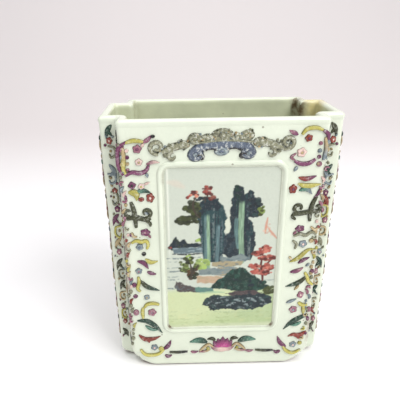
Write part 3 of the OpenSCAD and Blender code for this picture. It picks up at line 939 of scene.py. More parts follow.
LEFT_STEP = (("pine", 114.2, "leaf"), ("brick", 110.6, "bloom"), ("cloud", 104.4, "scroll"),
             ("slate", 97.2, "leaf"), ("slate", 92.2, "scroll"), ("brick", 87.6, "bloom"),
             ("cloud", 83.6, "scroll"), ("plum", 78.2, "bloom"), ("plum", 73.2, "leaf"),
             ("yellow", 67.0, "scroll"), ("tan", 61.2, "leaf"), ("rose", 56.6, "bloom"),
             ("olive", 50.6, "leaf"), ("cloud", 44.6, "scroll"), ("olive", 38.4, "leaf"),
             ("tan", 31.6, "scroll"), ("rose", 26.6, "bloom"), ("yellow", 21.6, "scroll"),
             ("brick", 16.6, "bloom"), ("olive", 10.6, "leaf"))
RIGHT_STEP = (("olive", 113.6, "leaf"), ("brick", 109.4, "bloom"), ("cloud", 103.6, "scroll"),
              ("pine", 95.4, "leaf"), ("slate", 90.2, "scroll"), ("plum", 85.0, "bloom"),
              ("brick", 80.8, "leaf"), ("yellow", 76.0, "scroll"), ("rose", 70.6, "bloom"),
              ("tan", 65.0, "scroll"), ("cloud", 59.6, "leaf"), ("slate", 54.6, "bloom"),
              ("pine", 49.6, "leaf"), ("rose", 44.6, "bloom"), ("tan", 39.2, "scroll"),
              ("pine", 32.6, "leaf"), ("cloud", 26.4, "scroll"), ("brick", 21.4, "leaf"),
              ("rose", 16.6, "bloom"), ("olive", 11.0, "leaf"))


# ---------------------------------------------------------------- painted pictures

SHEET_GRAIN = 0.25                  # between the points of a painted sheet
NOISE_CELLS = 1024                  # random cells each way
NOISE_START = (300.37, 300.61)      # where among them the sheet's middle lies


class Picture:
    """Enamel painted on a sunk ground: a fine grid of points, each with a colour and a thickness."""

    def __init__(self, face, seed):
        wide = face in WIDE_FACES
        half = (BEAD_X if wide else SIDE_BEAD_X) - SHEET_MARGIN
        low, high = BEAD_LOW + SHEET_MARGIN, BEAD_HIGH - SHEET_MARGIN
        self.along, self.up = np.meshgrid(np.linspace(-half, half, int(2 * half / SHEET_GRAIN)),
                                          np.linspace(low, high, int((high - low) / SHEET_GRAIN)))
        self.x, self.z = unlaid(-self.along if face == "back" else self.along, self.up, wide)
        self.face = face
        self.colour = np.ones(self.x.shape + (3,))
        self.thick = np.zeros(self.x.shape)
        self.seed = seed

    def noise(self, wide, tall=None, seed=0):
        """Smooth random values from -1 to 1, with cells of the given size."""
        u, v = self.x / wide + NOISE_START[0], self.z / (tall or wide) + NOISE_START[1]
        i, j = np.floor(u).astype(int), np.floor(v).astype(int)
        fu, fv = smooth(u - i), smooth(v - j)
        dice = np.random.default_rng(self.seed * 101 + seed)
        grid = dice.uniform(-1, 1, (NOISE_CELLS, NOISE_CELLS))
        i, j = i % (NOISE_CELLS - 1), j % (NOISE_CELLS - 1)
        return mix(mix(grid[i, j], grid[i + 1, j], fu), mix(grid[i, j + 1], grid[i + 1, j + 1], fu), fv)

    def lay(self, cover, tone, thick=0.6):
        """Enamel laid where cover is above nothing."""
        cover = np.clip(cover, 0, 1)
        self.colour = mix(self.colour, np.array(linear(tone)), cover[..., None])
        self.thick = mix(self.thick, thick, cover)

    def to_line(self, points):
        """Distance to a line through the points, and how far along it."""
        best, along = np.full(self.x.shape, 1e9), np.zeros(self.x.shape)
        points = np.array(points, float)
        lengths = np.linalg.norm(np.diff(points, axis=0), axis=1)
        done = 0.0
        for (x0, z0), (x1, z1), step in zip(points, points[1:], lengths):
            dx, dz = x1 - x0, z1 - z0
            t = np.clip(((self.x - x0) * dx + (self.z - z0) * dz) / (step * step + 1e-9), 0, 1)
            away = np.hypot(self.x - x0 - t * dx, self.z - z0 - t * dz)
            along = np.where(away < best, (done + t * step) / lengths.sum(), along)
            best = np.minimum(best, away)
            done += step
        return best, along

    def shape(self, points, rough=0.5, soft=0.5, seed=0):
        """Cover inside a closed outline with a rough edge."""
        points = list(points) + [points[0]]
        away, _ = self.to_line(points)
        inside = np.zeros(self.x.shape, bool)
        for (x0, z0), (x1, z1) in zip(points, points[1:]):
            crosses = (z0 > self.z) != (z1 > self.z)
            inside ^= crosses & (self.x < (x1 - x0) * (self.z - z0) / (z1 - z0 + 1e-12) + x0)
        away = (np.where(inside, -away, away)
                + rough * (self.noise(2.1, seed=seed) + 0.5 * self.noise(0.8, seed=seed + 1)))
        return smooth(0.5 - away / soft)

    def mass(self, tone, points, rough=0.5, soft=0.5, seed=0, thick=0.8, light=None, grain=(0.8, 3.5),
             amount=0.6):
        """A rock or bank, with strokes of a lighter tone drawn down it."""
        cover = self.shape(points, rough, soft, seed)
        self.lay(cover, tone, thick)
        if light is not None:
            streak = smooth((self.noise(grain[0], grain[1], seed + 5)
                             + 0.4 * self.noise(0.5, seed=seed + 6)) * 1.6)
            self.lay(cover * streak * amount, light, thick * 1.1)

    def brush(self, tone, width, *points, cover=1.0, soft=0.4, thick=0.7, dry=0.0, seed=0):
        """One brush stroke, thinner at its ends; dry breaks it up."""
        away, along = self.to_line(spline(points, 1.0) if len(points) > 2 else points)
        wide = width / 2 * (0.45 + 0.55 * np.sin(np.pi * np.clip(along, 0.04, 0.96)))
        mask = smooth((wide - away) / soft + 0.5) * cover
        if dry:
            mask = mask * smooth(1.0 - dry + self.noise(0.7, seed=seed) * 0.9)
        self.lay(mask, tone, thick)

    def waterfall(self, tone, width, *points):
        """Falling water: a pale stroke broken by fine upright streaks."""
        away, along = self.to_line(spline(points, 1.0))
        mask = smooth((width / 2 - away) / 0.5 + 0.5) * smooth(along * 12)
        streaks = smooth(0.5 + 0.9 * self.noise(0.35, 4.0, seed=int(10 * width)))
        self.lay(mask * 0.9, np.array(tone) * 0.8, 0.8)
        self.lay(mask * streaks * 0.9, tone, 1.0)

    def dabs(self, tones, centre, reach, count, touch, seed=0, cover=0.95, thick=0.9):
        """A cluster of leaf dabs."""
        dice = random.Random(self.seed * 77 + seed)
        for _ in range(count):
            a, r = dice.uniform(0, 2 * math.pi), math.sqrt(dice.random())
            x, z = centre[0] + reach[0] * r * math.cos(a), centre[1] + reach[1] * r * math.sin(a)
            big = touch * dice.uniform(0.6, 1.3)
            tone = np.array(dice.choice(tones)) * dice.uniform(0.9, 1.1)
            away = np.hypot((self.x - x) / 1.25, self.z - z)
            self.lay(smooth((big - away) / 0.35 + 0.5) * cover, np.clip(tone, 0, 1), thick)

    def clay(self):
        """The sheet as a closed piece lying on the face's ground."""
        rows, across = self.x.shape
        rise = 0.05 + size("paint_height") * self.thick - size("ground_depth")
        top = np.column_stack([self.along.ravel(), rise.ravel(), self.up.ravel()])
        border = edge_loop(rows, across)
        under = top[border + [len(top) // 2]]
        under[:, 1] = -size("ground_depth") - 0.4
        faces = grid_faces(rows, across)
        base, centre = rows * across, rows * across + len(border)
        for n, (a, b) in enumerate(zip(border, border[1:] + border[:1])):
            m = (n + 1) % len(border)
            faces += [(b, a, base + n, base + m), (base + m, base + n, centre)]
        piece = Clay()
        tints = np.vstack([self.colour.reshape(-1, 3), np.full((len(under), 3), 0.7)])
        piece.add(on_face(np.vstack([top, under]), self.face), faces, tints)
        return piece


NAVY, TEAL_INK, DEEP_GREEN = (0.12, 0.17, 0.20), (0.15, 0.27, 0.28), (0.10, 0.20, 0.17)
MOSS, LEAF_DARK, LIME = (0.25, 0.28, 0.14), (0.16, 0.18, 0.10), (0.62, 0.72, 0.38)
RUST, RUST_DARK, CORAL = (0.60, 0.28, 0.24), (0.37, 0.16, 0.14), (0.80, 0.52, 0.42)
MIST, STONE, BUFF = (0.38, 0.45, 0.47), (0.50, 0.55, 0.54), (0.66, 0.61, 0.48)
GREY, SLATE = (0.60, 0.66, 0.66), (0.13, 0.18, 0.20)
FALL, PEACH, BARK = (0.60, 0.73, 0.60), (0.75, 0.64, 0.53), (0.26, 0.22, 0.18)


def ground_wash(p):
    """Sky, water and the meadow's green wash, with a raised pale line inside the upper left of the bead,
    painted lighter as a highlight, and a painted shadow line just outside it.
    """
    p.lay(np.ones(p.x.shape), (0.80, 0.825, 0.765), 0.05)
    p.lay(smooth((62 - p.z) / 14) * 0.5, (0.79, 0.82, 0.76), 0.05)
    meadow = smooth((42.0 - p.z + 0.8 * p.noise(6.0, seed=3)) / 4.0)
    p.lay(meadow * 0.95, (0.81, 0.85, 0.66), 0.15)
    p.lay(meadow * smooth((p.x + 8) / 26 + p.noise(7, 3, seed=4) * 0.3) * 0.8, (0.69, 0.76, 0.58), 0.15)
    p.lay(meadow * smooth((27 - p.z) / 7 + p.noise(6, 2.5, seed=5) * 0.3) * 0.55, (0.68, 0.76, 0.54),
          0.15)
    mottle = smooth(p.noise(2.4, 0.7, seed=6) + 0.5 * p.noise(0.9, 0.5, seed=7) - 0.15)
    p.lay(meadow * mottle * smooth((34 - p.z) / 8) * 0.5, (0.60, 0.67, 0.47), 0.2)
    p.lay(meadow * smooth(p.noise(3.0, 1.0, seed=8) - 0.3) * 0.35, (0.86, 0.84, 0.62), 0.15)
    p.lay(smooth((21.5 - p.z) / 2.5) * 0.6, (0.86, 0.87, 0.76), 0.1)
    # a painted shadow line, then a raised line painted paler as a highlight, inside the upper left of the
    # bead
    edge = BEAD_X - np.abs(p.along)
    border = smooth((p.up - 50) / 25) * (p.along < 0)
    p.lay(np.exp(-((edge - 2.0) / 0.45) ** 2) * border * 0.4, (0.70, 0.72, 0.64), 0.0)
    p.lay(np.exp(-((edge - 2.9) / 0.4) ** 2) * border * 0.8, (0.94, 0.95, 0.89), 1.4)


def crags(p):
    """Two tall rocks with waterfalls, and the smaller rocks round them."""
    p.mass(TEAL_INK, [(-9.4, 85.5), (-6, 87), (-2, 86), (0, 82.5), (1.4, 78), (2.6, 75.5), (1.4, 72.5),
                      (1.2, 64), (1.0, 55), (-8, 54.5), (-8.4, 64), (-10, 70), (-10.4, 77),
                      (-10.8, 82)], 0.5, 0.5, 11, 1.0, NAVY, (0.7, 5.0), 0.95)
    p.mass(NAVY, [(-9.6, 84.8), (-6, 86.8), (-2.2, 85.4), (-0.4, 82), (-3, 80.6), (-7.4, 80.4),
                  (-9.2, 78), (-10.4, 80)], 0.6, 0.6, 17, 1.0, TEAL_INK, (1.0, 1.2), 0.5)
    p.waterfall((0.40, 0.52, 0.52), 2.3, (-6.6, 79), (-6.5, 70), (-6.3, 60), (-6.4, 52.5))
    p.waterfall(FALL, 1.3, (-6.1, 79.5), (-5.9, 70), (-5.5, 60), (-5.4, 50.5))
    p.brush(STONE, 1.3, (-3.6, 81.5), (-3.8, 72), (-3.0, 64), (-3.2, 56), cover=0.55, dry=0.5, seed=2)
    p.waterfall((0.44, 0.56, 0.57), 1.5, (-1.6, 74), (-1.6, 64), (-1.8, 53.0))
    p.brush(MIST, 1.0, (0.2, 76), (0.0, 68), (0.2, 57), cover=0.6, dry=0.4, seed=3)
    p.brush(MIST, 0.8, (-9.0, 76), (-8.8, 68), (-8.0, 57), cover=0.6, dry=0.4, seed=31)
    p.mass(NAVY, [(4.2, 90.6), (6.4, 91.8), (8.6, 90.6), (9.0, 87.4), (11.4, 89.2), (13, 88.2),
                  (13.6, 84), (15.8, 83.6), (16.6, 80), (15.4, 77), (11.6, 76.4), (13.4, 73.5),
                  (14.8, 69), (15.2, 62), (13.2, 55.5), (8, 55), (4.4, 58), (1.6, 60), (1.4, 66),
                  (3.6, 71), (3.6, 80)], 0.5, 0.5, 21, 1.0, TEAL_INK, (0.8, 4.5), 0.65)
    p.mass((0.84, 0.86, 0.78), [(1.6, 75), (3.2, 78), (3.6, 72), (3.4, 69), (2.2, 68.4), (1.4, 70)],
           0.4, 0.4, 31, 0.2)
    p.mass(NAVY, [(0.8, 68.6), (4.8, 70.6), (7.0, 68), (7.6, 58.5), (3.6, 56.5), (0.8, 59)], 0.6, 0.5,
           37, 1.1, (0.20, 0.27, 0.30), (1.2, 1.6), 0.7)
    p.waterfall((0.40, 0.53, 0.52), 1.5, (6.2, 77), (6.2, 70), (7.4, 62))
    p.waterfall(FALL, 2.3, (8.2, 85), (8.2, 76), (8.4, 68), (9.0, 60), (9.4, 54.5))
    p.brush(DEEP_GREEN, 2.2, (5.4, 90), (6.6, 86.5), (6.0, 82), cover=0.8, dry=0.3, seed=5)
    p.brush(MIST, 1.0, (11.0, 86), (10.6, 80), (11.4, 74), cover=0.45, dry=0.5, seed=6)
    p.brush(STONE, 1.2, (12.6, 66), (12.2, 60), (13.0, 55), cover=0.6, dry=0.35, seed=7)
    p.dabs([(0.10, 0.14, 0.16), (0.16, 0.24, 0.24), NAVY], (13.4, 81.6), (3.0, 4.2), 34, 0.8, 8)
    p.dabs([(0.45, 0.52, 0.25), MOSS], (16.4, 80.4), (1.1, 3.2), 15, 0.65, 9)
    p.dabs([NAVY, DEEP_GREEN], (6.2, 89.6), (1.8, 2.2), 14, 0.7, 10)


def pines(p):
    """The dark foliage and red leaves on the left crag."""
    p.dabs([LEAF_DARK, MOSS, (0.20, 0.22, 0.14)], (-13.0, 82.6), (3.2, 2.6), 46, 0.85, 20)
    p.dabs([LEAF_DARK, MOSS, (0.20, 0.22, 0.14)], (-15.6, 76.4), (4.2, 1.7), 44, 0.85, 21)
    p.dabs([LEAF_DARK, MOSS], (-11.2, 78.2), (1.6, 3.0), 18, 0.8, 22)
    p.brush(BARK, 0.8, (-9.4, 77), (-11.6, 80), (-12.6, 84), (-11.2, 88))
    p.brush(BARK, 0.7, (-7.6, 84.6), (-6.4, 88), (-6.4, 91))
    p.dabs([RUST, RUST_DARK, CORAL], (-12.0, 88.8), (1.7, 1.5), 15, 0.6, 23)
    p.dabs([RUST, RUST_DARK, RUST], (-6.9, 90.0), (2.2, 2.2), 24, 0.62, 24)
    p.dabs([RUST, RUST_DARK], (-14.4, 87.4), (0.9, 0.8), 6, 0.6, 25)
    p.dabs([(0.55, 0.34, 0.28), RUST_DARK], (-4.6, 87.2), (1.4, 1.3), 9, 0.6, 26)
    p.dabs([NAVY, BARK], (-9.6, 86.6), (3.0, 0.9), 14, 0.6, 27)


RIPPLES = (                         # height, ends and strength
    (57.6, -25, -9, 0.8), (55.9, -24, -16, 0.4), (52.6, -25, -17, 0.55), (50.8, -25, -18, 0.75),
    (47.8, -25, -19, 0.45), (46.3, -25, -19, 0.65), (41.6, -25, -18, 0.8), (44.2, 20, 25, 0.4),
    (34.4, 20, 25, 0.3),
)


def far_shore(p):
    """Distant banks, reflections and the ripples of the lake."""
    p.mass(NAVY, [(-24, 63.4), (-21.6, 65.6), (-20, 69), (-18.4, 66.2), (-16.4, 67.2), (-14.6, 65.2),
                  (-8, 65), (-7.2, 62.6), (-15, 62.8), (-22, 61.4)], 0.5, 0.5, 41, 0.9, MOSS,
           (1.4, 1.0), 0.4)
    p.mass(MIST, [(-21.4, 62.8), (-7.6, 63), (-7.6, 60), (-21, 59.8)], 0.3, 0.6, 45, 0.5,
           (0.60, 0.67, 0.68), (4.0, 0.8), 0.7)
    p.brush(NAVY, 0.8, (-21.6, 59.8), (-15, 59.3), (-7.4, 59.7), dry=0.1, seed=12)
    p.dabs([LIME, (0.50, 0.58, 0.30)], (-9.4, 66.0), (1.7, 0.9), 10, 0.6, 46)
    p.dabs([RUST, RUST_DARK], (-22.8, 63.2), (0.6, 0.7), 4, 0.5, 47)
    for n, (z, x0, x1, strength) in enumerate(RIPPLES):
        p.brush(STONE, 0.9, (x0, z), ((x0 + x1) / 2, z - 0.25), (x1, z + 0.1),
                cover=min(strength * 1.3, 1.0), dry=0.3, seed=50 + n)


def middle_ground(p):
    """Bushes, slabs of rock and the bank by the water."""
    p.mass(STONE, [(0, 58), (4, 57), (9, 58.4), (13, 56), (11, 54.6), (4, 55), (-1, 55.2)], 0.4, 0.6,
           61, 0.7, MIST, (2.2, 0.8), 0.8)
    p.mass(BUFF, [(-4, 55), (2, 55.2), (10, 54.8), (9, 52.4), (3, 51.8), (-4, 53)], 0.4, 0.6, 65, 0.6,
           MIST, (1.6, 0.6), 0.7)
    p.mass(STONE, [(-1, 52), (6, 52.2), (8, 50.6), (2, 47), (-3, 48)], 0.5, 0.6, 66, 0.6, BUFF,
           (1.4, 0.6), 0.8)
    p.mass(STONE, [(-9.6, 51.6), (-2, 51.8), (1.4, 50.6), (0.6, 48.4), (-9.8, 48.2)], 0.4, 0.6, 69, 0.7,
           MIST, (2.2, 0.8), 0.6)
    p.mass(PEACH, [(-10.6, 47.6), (-2, 47.6), (3, 46.4), (-2.4, 43.6), (-10.4, 43.8)], 0.5, 0.8, 73,
           0.4, BUFF, (2.6, 0.8), 0.7)
    p.dabs([LIME, (0.64, 0.72, 0.42), (0.50, 0.58, 0.33)], (-8.6, 54.2), (3.6, 2.4), 34, 0.8, 74)
    p.dabs([MOSS, (0.36, 0.40, 0.20), LEAF_DARK, (0.52, 0.60, 0.34)], (-14.6, 53.6), (4.6, 4.0), 66,
           0.72, 75)
    p.dabs([LEAF_DARK, (0.30, 0.20, 0.12)], (-12.6, 49.4), (2.4, 3.2), 26, 0.75, 76)
    p.dabs([LIME, MOSS], (-14.6, 57.6), (1.6, 1.2), 8, 0.6, 77)
    p.brush(BARK, 1.1, (-13.6, 46.4), (-13.0, 50), (-13.8, 54.4))
    p.brush(BARK, 0.8, (-13.0, 49), (-11.0, 52), (-10.2, 54))
    p.mass((0.32, 0.29, 0.28), [(-20.6, 46), (-18, 44.2), (-14, 42.4), (-9.4, 41.2), (-9, 39),
                                (-20.2, 39.4), (-20.8, 42)], 0.5, 0.5, 81, 0.9, MIST, (1.6, 0.9), 0.45)
    p.mass((0.36, 0.52, 0.47), [(-11.6, 41.6), (-4, 41.4), (-3, 39), (-11.4, 38.8)], 0.4, 0.6, 85, 0.7,
           MIST, (1.6, 0.8), 0.5)
    p.brush(FALL, 1.2, (-9, 38.4), (-4, 38.6), (2, 38.2), cover=0.6)


MAPLE_LEAVES = (                    # place, reach and number
    (19.6, 60.4, 2.4, 1.8, 30), (16.0, 58.4, 3.0, 1.0, 26), (20.8, 56.0, 4.0, 1.3, 38),
    (14.8, 51.8, 2.8, 1.0, 24), (21.2, 51.2, 2.4, 1.6, 26), (17.0, 48.4, 3.2, 1.6, 30),
    (21.0, 48.2, 2.2, 1.1, 18),
)


def green_hill(p):
    """The dark hill on the right, with a red maple beside it."""
    p.brush(CORAL, 1.1, (19.6, 76), (19.2, 72), (19.0, 68.4), cover=0.75, thick=0.3)
    p.brush(CORAL, 1.1, (20.4, 70.6), (22.4, 68), (24.4, 65.6), cover=0.75, thick=0.3)
    p.dabs([CORAL, (0.87, 0.66, 0.55)], (20.6, 70), (2.2, 3.0), 8, 0.55, 90, 0.45, 0.3)
    p.brush(RUST_DARK, 1.2, (19.6, 41), (19.2, 47), (18.2, 52), (18.8, 57.4))
    p.brush(RUST_DARK, 0.9, (18.6, 50), (21.4, 53.4), (23.4, 55.6))
    p.brush(RUST_DARK, 0.8, (18.4, 48.6), (15.6, 51), (13.6, 52.4))
    for n, (x, z, wide, tall, count) in enumerate(MAPLE_LEAVES):
        p.dabs([(0.66, 0.34, 0.29), (0.74, 0.44, 0.37), RUST, RUST_DARK], (x, z), (wide, tall), count,
               0.66, 91 + n)
    p.mass(DEEP_GREEN, [(-5, 41), (-2, 44.4), (2, 47.4), (4.6, 50), (8.6, 51.8), (11.8, 50.6),
                        (14, 47.4), (17, 45.6), (20, 42.6), (23.4, 41), (22, 39.4), (16, 38.4),
                        (12, 37.8), (5, 39.2)], 0.5, 0.5, 101, 1.1, (0.16, 0.32, 0.27), (1.5, 2.2), 0.7)
    p.brush(NAVY, 1.2, (2, 46), (8, 44.8), (14, 42.0), cover=0.6, dry=0.3, seed=14)
    p.dabs([DEEP_GREEN, NAVY, (0.14, 0.26, 0.22)], (15.2, 42.6), (5.4, 2.6), 40, 0.8, 102)
    p.dabs([MOSS, (0.30, 0.32, 0.18)], (22.8, 38.8), (2.6, 2.2), 30, 0.8, 103)


GREY_STROKES = (                    # ends, width and cover
    (-6, 32, -3, 34, 1.2, 0.6), (-3, 30.4, -0.6, 32.4, 1.8, 0.75), (0, 32.6, 4, 33.8, 1.5, 0.7),
    (3.6, 30.6, 7.4, 32, 1.7, 0.8), (7, 33.8, 12, 32.6, 1.6, 0.75), (11, 31.2, 15, 29.8, 1.3, 0.7),
    (13, 34.6, 17, 32.6, 1.4, 0.75), (17.4, 35.2, 21, 32.4, 1.2, 0.6), (19, 31, 23, 30.6, 1.0, 0.6),
    (-2, 34.8, 4, 35.6, 0.8, 0.6), (8, 29.6, 12, 28.8, 0.9, 0.5),
)


def near_rocks(p):
    """The slate rocks in front, mottled with grey."""
    p.mass((0.32, 0.27, 0.27), [(2, 37.6), (8, 38.6), (16, 38.8), (20, 37.4), (18, 35.6), (8, 35.4)],
           0.5, 0.5, 111, 0.9, NAVY, (1.6, 0.9), 0.7)
    p.mass(SLATE, [(-8.8, 31.4), (-7, 34.4), (-4.6, 36.6), (2, 36.4), (8, 36.8), (15, 36.6), (20, 36.8),
                   (23.6, 35), (24.6, 31.4), (22, 30.2), (18.4, 28.8), (14, 27.6), (4, 28.6),
                   (-4.6, 28.4), (-5.6, 30.2)], 0.6, 0.5, 115, 1.1, (0.20, 0.30, 0.29), (1.4, 1.1), 0.6)
    for n, (x0, z0, x1, z1, wide, cover) in enumerate(GREY_STROKES):
        p.brush(GREY, wide, (x0, z0), ((x0 + x1) / 2, (z0 + z1) / 2 + 0.3), (x1, z1),
                cover=cover, dry=0.55, seed=120 + n)
    p.brush((0.62, 0.70, 0.56), 1.2, (-4, 27.6), (6, 27.0), (16, 26.8), cover=0.4, dry=0.3, seed=15)


def lake_picture(p):
    """The whole scene, from far to near."""
    ground_wash(p)
    p.brush((0.86, 0.80, 0.73), 3.0, (-22.6, 94.6), (-19.6, 93.8), (-16.6, 92.2), cover=0.5, soft=1.6,
            thick=0.1)
    far_shore(p)
    crags(p)
    pines(p)
    middle_ground(p)
    green_hill(p)
    near_rocks(p)


def slim_picture(p):
    """One crag, a pine and a rock, for a narrow face."""
    ground_wash(p)
    p.mass(TEAL_INK, [(-2.6, 84), (0.2, 88), (2.8, 84), (3.6, 76), (3.4, 66), (4, 58), (-2.6, 57),
                      (-2, 66), (-3.2, 76)], 0.5, 0.5, 11, 1.0, NAVY, (0.7, 4.0), 0.8)
    p.brush(FALL, 1.3, (0.4, 83), (0.2, 72), (0.8, 58), soft=0.5)
    p.dabs([LEAF_DARK, MOSS], (-3.6, 80), (2.4, 2.2), 30, 0.75, 20)
    p.dabs([RUST, RUST_DARK], (1.4, 88.6), (2.2, 1.6), 16, 0.6, 21)
    for n, z in enumerate((56, 53.4, 50.2, 47.4)):
        p.brush(STONE, 0.8, (-6, z), (0, z - 0.3), (6, z), cover=0.6, dry=0.35, seed=30 + n)
    p.dabs([(0.72, 0.36, 0.30), RUST], (2.6, 52), (2.6, 4.4), 46, 0.7, 22)
    p.brush(RUST_DARK, 0.8, (2.6, 42), (2.8, 50), (2.2, 55))
    p.mass(DEEP_GREEN, [(-6, 41), (-3, 46), (0, 47), (3, 43), (6, 41), (6, 38.6), (-6, 38.6)], 0.5, 0.5,
           41, 1.0, TEAL_INK, (1.2, 1.6), 0.6)
    p.mass(SLATE, [(-4, 31), (-1, 35), (4, 34), (5.6, 30), (0, 28)], 0.5, 0.5, 45, 1.0, GREY,
           (1.0, 0.8), 0.45)


# ---------------------------------------------------------------- materials

WHITE = (1.0, 1.0, 1.0, 1.0)
MIX_AMOUNT, MIX_FIRST, MIX_SECOND, MIX_RESULT = 0, 6, 7, 2      # a Mix node's sockets for colours


class Wiring:
    """Puts nodes in a material or a node group and joins them up."""

    def __init__(self, tree):
        self.tree = tree

    def feed(self, socket, value):
        """Links another node's output to a socket, or sets the socket's own value."""
        if isinstance(value, bpy.types.NodeSocket):
            self.tree.links.new(value, socket)
        else:
            socket.default_value = value

    def put(self, kind, tree=None, **inputs):
        """A node with its inputs fed by name, so that break_up feeds Break Up."""
        node = self.tree.nodes.new(kind)
        if tree:
            node.node_tree = tree
        for name, value in inputs.items():
            self.feed(node.inputs[name.replace("_", " ").title()], value)
        return node

    def group(self, name, **inputs):
        """What a shared group puts out, with this material's own values."""
        tree = bpy.data.node_groups.get(name) or GROUPS[name](name)
        return self.put("ShaderNodeGroup", tree, **inputs).outputs[0]

    def attribute(self, name):
        """A colour kept at each point."""
        node = self.put("ShaderNodeAttribute")
        node.attribute_name = name
        return node.outputs

    def place(self):
        """Where a point lies on its piece."""
        return self.put("ShaderNodeTexCoord").outputs["Object"]

    def noise(self, place, **inputs):
        """Smooth random values, mostly near the middle of 0 to 1."""
        return self.put("ShaderNodeTexNoise", vector=place, **inputs).outputs["Fac"]

    def colour_parts(self, value):
        """Red, green and blue."""
        return self.put("ShaderNodeSeparateColor", color=value).outputs

    def place_parts(self, value):
        """X, Y and Z."""
        return self.put("ShaderNodeSeparateXYZ", vector=value).outputs

    def math(self, operation, first, second, clamp=False):
        """One sum."""
        node = self.put("ShaderNodeMath")
        node.operation, node.use_clamp = operation, clamp
        self.feed(node.inputs[0], first)
        self.feed(node.inputs[1], second)
        return node.outputs[0]

    def times(self, first, second, clamp=False):
        """A product."""
        return self.math("MULTIPLY", first, second, clamp)

    def blend(self, amount, first, second):
        """The first colour, covered by the second by the amount."""
        node = self.put("ShaderNodeMix")
        node.data_type = "RGBA"
        for place, value in ((MIX_AMOUNT, amount), (MIX_FIRST, first), (MIX_SECOND, second)):
            self.feed(node.inputs[place], value)
        return node.outputs[MIX_RESULT]

    def ramp(self, value, low, high):
        """0 on the low side and 1 on the high side."""
        node = self.put("ShaderNodeMapRange", value=value, from_min=low, from_max=high)
        node.interpolation_type = "SMOOTHSTEP"
        return node.outputs["Result"]


def new_group(name, output, **inputs):
    """A node group: its wiring, what it is given, and the socket for what it makes."""
    tree = bpy.data.node_groups.new(name, "ShaderNodeTree")
    for label, default in inputs.items():
        kind = "NodeSocketColor" if isinstance(default, tuple) else "NodeSocketFloat"
        socket = tree.interface.new_socket(label.replace("_", " ").title(), in_out="INPUT",
                                           socket_type=kind)
        socket.default_value = default
    kind = "NodeSocketColor" if output == "Colour" else "NodeSocketFloat"
    tree.interface.new_socket(output, in_out="OUTPUT", socket_type=kind)
    given = tree.nodes.new("NodeGroupInput").outputs
    return Wiring(tree), given, tree.nodes.new("NodeGroupOutput").inputs[0]


def glaze_unevenness(name):
    """Slow changes of colour where a glaze lies thick or thin."""
    w, given, made = new_group(name, "Colour", thin_colour=WHITE, thick_colour=(0.8, 0.8, 0.8, 1.0),
                               scale=60.0, amount=0.6)
    broad = w.noise(w.place(), scale=given["Scale"], detail=3.0, roughness=0.55)
    cover = w.times(w.ramp(broad, 0.35, 0.68), given["Amount"])
    w.feed(made, w.blend(cover, given["Thin Colour"], given["Thick Colour"]))
    return w.tree


def kiln_specks(name):
    """Sparse dark specks and pinholes."""
    w, given, made = new_group(name, "Mask", scale=260.0, size=0.1, rarity=0.8)
    cells = w.put("ShaderNodeTexVoronoi", vector=w.place(), scale=given["Scale"]).outputs
    near = w.math("LESS_THAN", cells["Distance"], given["Size"])
    rare = w.math("GREATER_THAN", w.colour_parts(cells["Color"])[0], given["Rarity"])
    w.feed(made, w.times(near, rare))
    return w.tree


def broken_wear_and_shade(name):
    """Breaks a mask up into patches, as use does to worn and grimy places; also used on the painted shade in
    corners and grooves.
    """
    w, given, made = new_group(name, "Mask", mask=0.0, scale=300.0, break_up=0.5)
    grit = w.noise(w.place(), scale=given["Scale"], detail=4.0, roughness=0.6)
    loss = w.times(w.ramp(grit, 0.3, 0.7), given["Break Up"])
    w.feed(made, w.times(given["Mask"], w.math("SUBTRACT", 1.0, loss), clamp=True))
    return w.tree


def glaze_skin(name):
    """The faint orange-peel surface of a fired glaze, as a height."""
    w, given, made = new_group(name, "Height", scale=700.0, ripple=120.0)
    place = w.place()
    fine = w.noise(place, scale=given["Scale"], detail=2.0)
    slow = w.noise(place, scale=given["Ripple"], detail=2.0)
    w.feed(made, w.math("ADD", fine, w.times(slow, 3.0)))
    return w.tree


def enamel_fleck(name):
    """Dark and pale flecks that the firing leaves in an enamel."""
    w, given, made = new_group(name, "Colour", tint=WHITE, amount=0.3)
    grain = w.noise(w.place(), scale=900.0, detail=3.0, roughness=0.7)
    dark = w.times(w.ramp(grain, 0.5, 0.72), given["Amount"])
    pale = w.times(w.ramp(grain, 0.5, 0.3), given["Amount"])
    base = w.blend(dark, given["Tint"], (0.05, 0.05, 0.05, 1.0))
    w.feed(made, w.blend(pale, base, (0.86, 0.88, 0.80, 1.0)))
    return w.tree


GROUPS = {"Glaze_Unevenness": glaze_unevenness, "Kiln_Specks": kiln_specks, "Broken_Wear": broken_wear_and_shade,
          "Glaze_Skin": glaze_skin, "Enamel_Fleck": enamel_fleck}


def glaze_bump(w, shader, depth, scale=700.0, ripple=120.0):
    """A glaze's skin on a shader, so many metres deep."""
    skin = w.group("Glaze_Skin", scale=scale, ripple=ripple)
    bump = w.put("ShaderNodeBump", strength=0.35, distance=depth, height=skin)
    w.feed(shader["Normal"], bump.outputs["Normal"])


def finished(name, finish, *values):
    """The named material, given its finish the first time that it is asked for."""
    material = bpy.data.materials.get(name)
    if material is None:
        material = bpy.data.materials.new(name)
        material.use_nodes = True
        finish(Wiring(material.node_tree), material.node_tree.nodes["Principled BSDF"].inputs, *values)
    return material


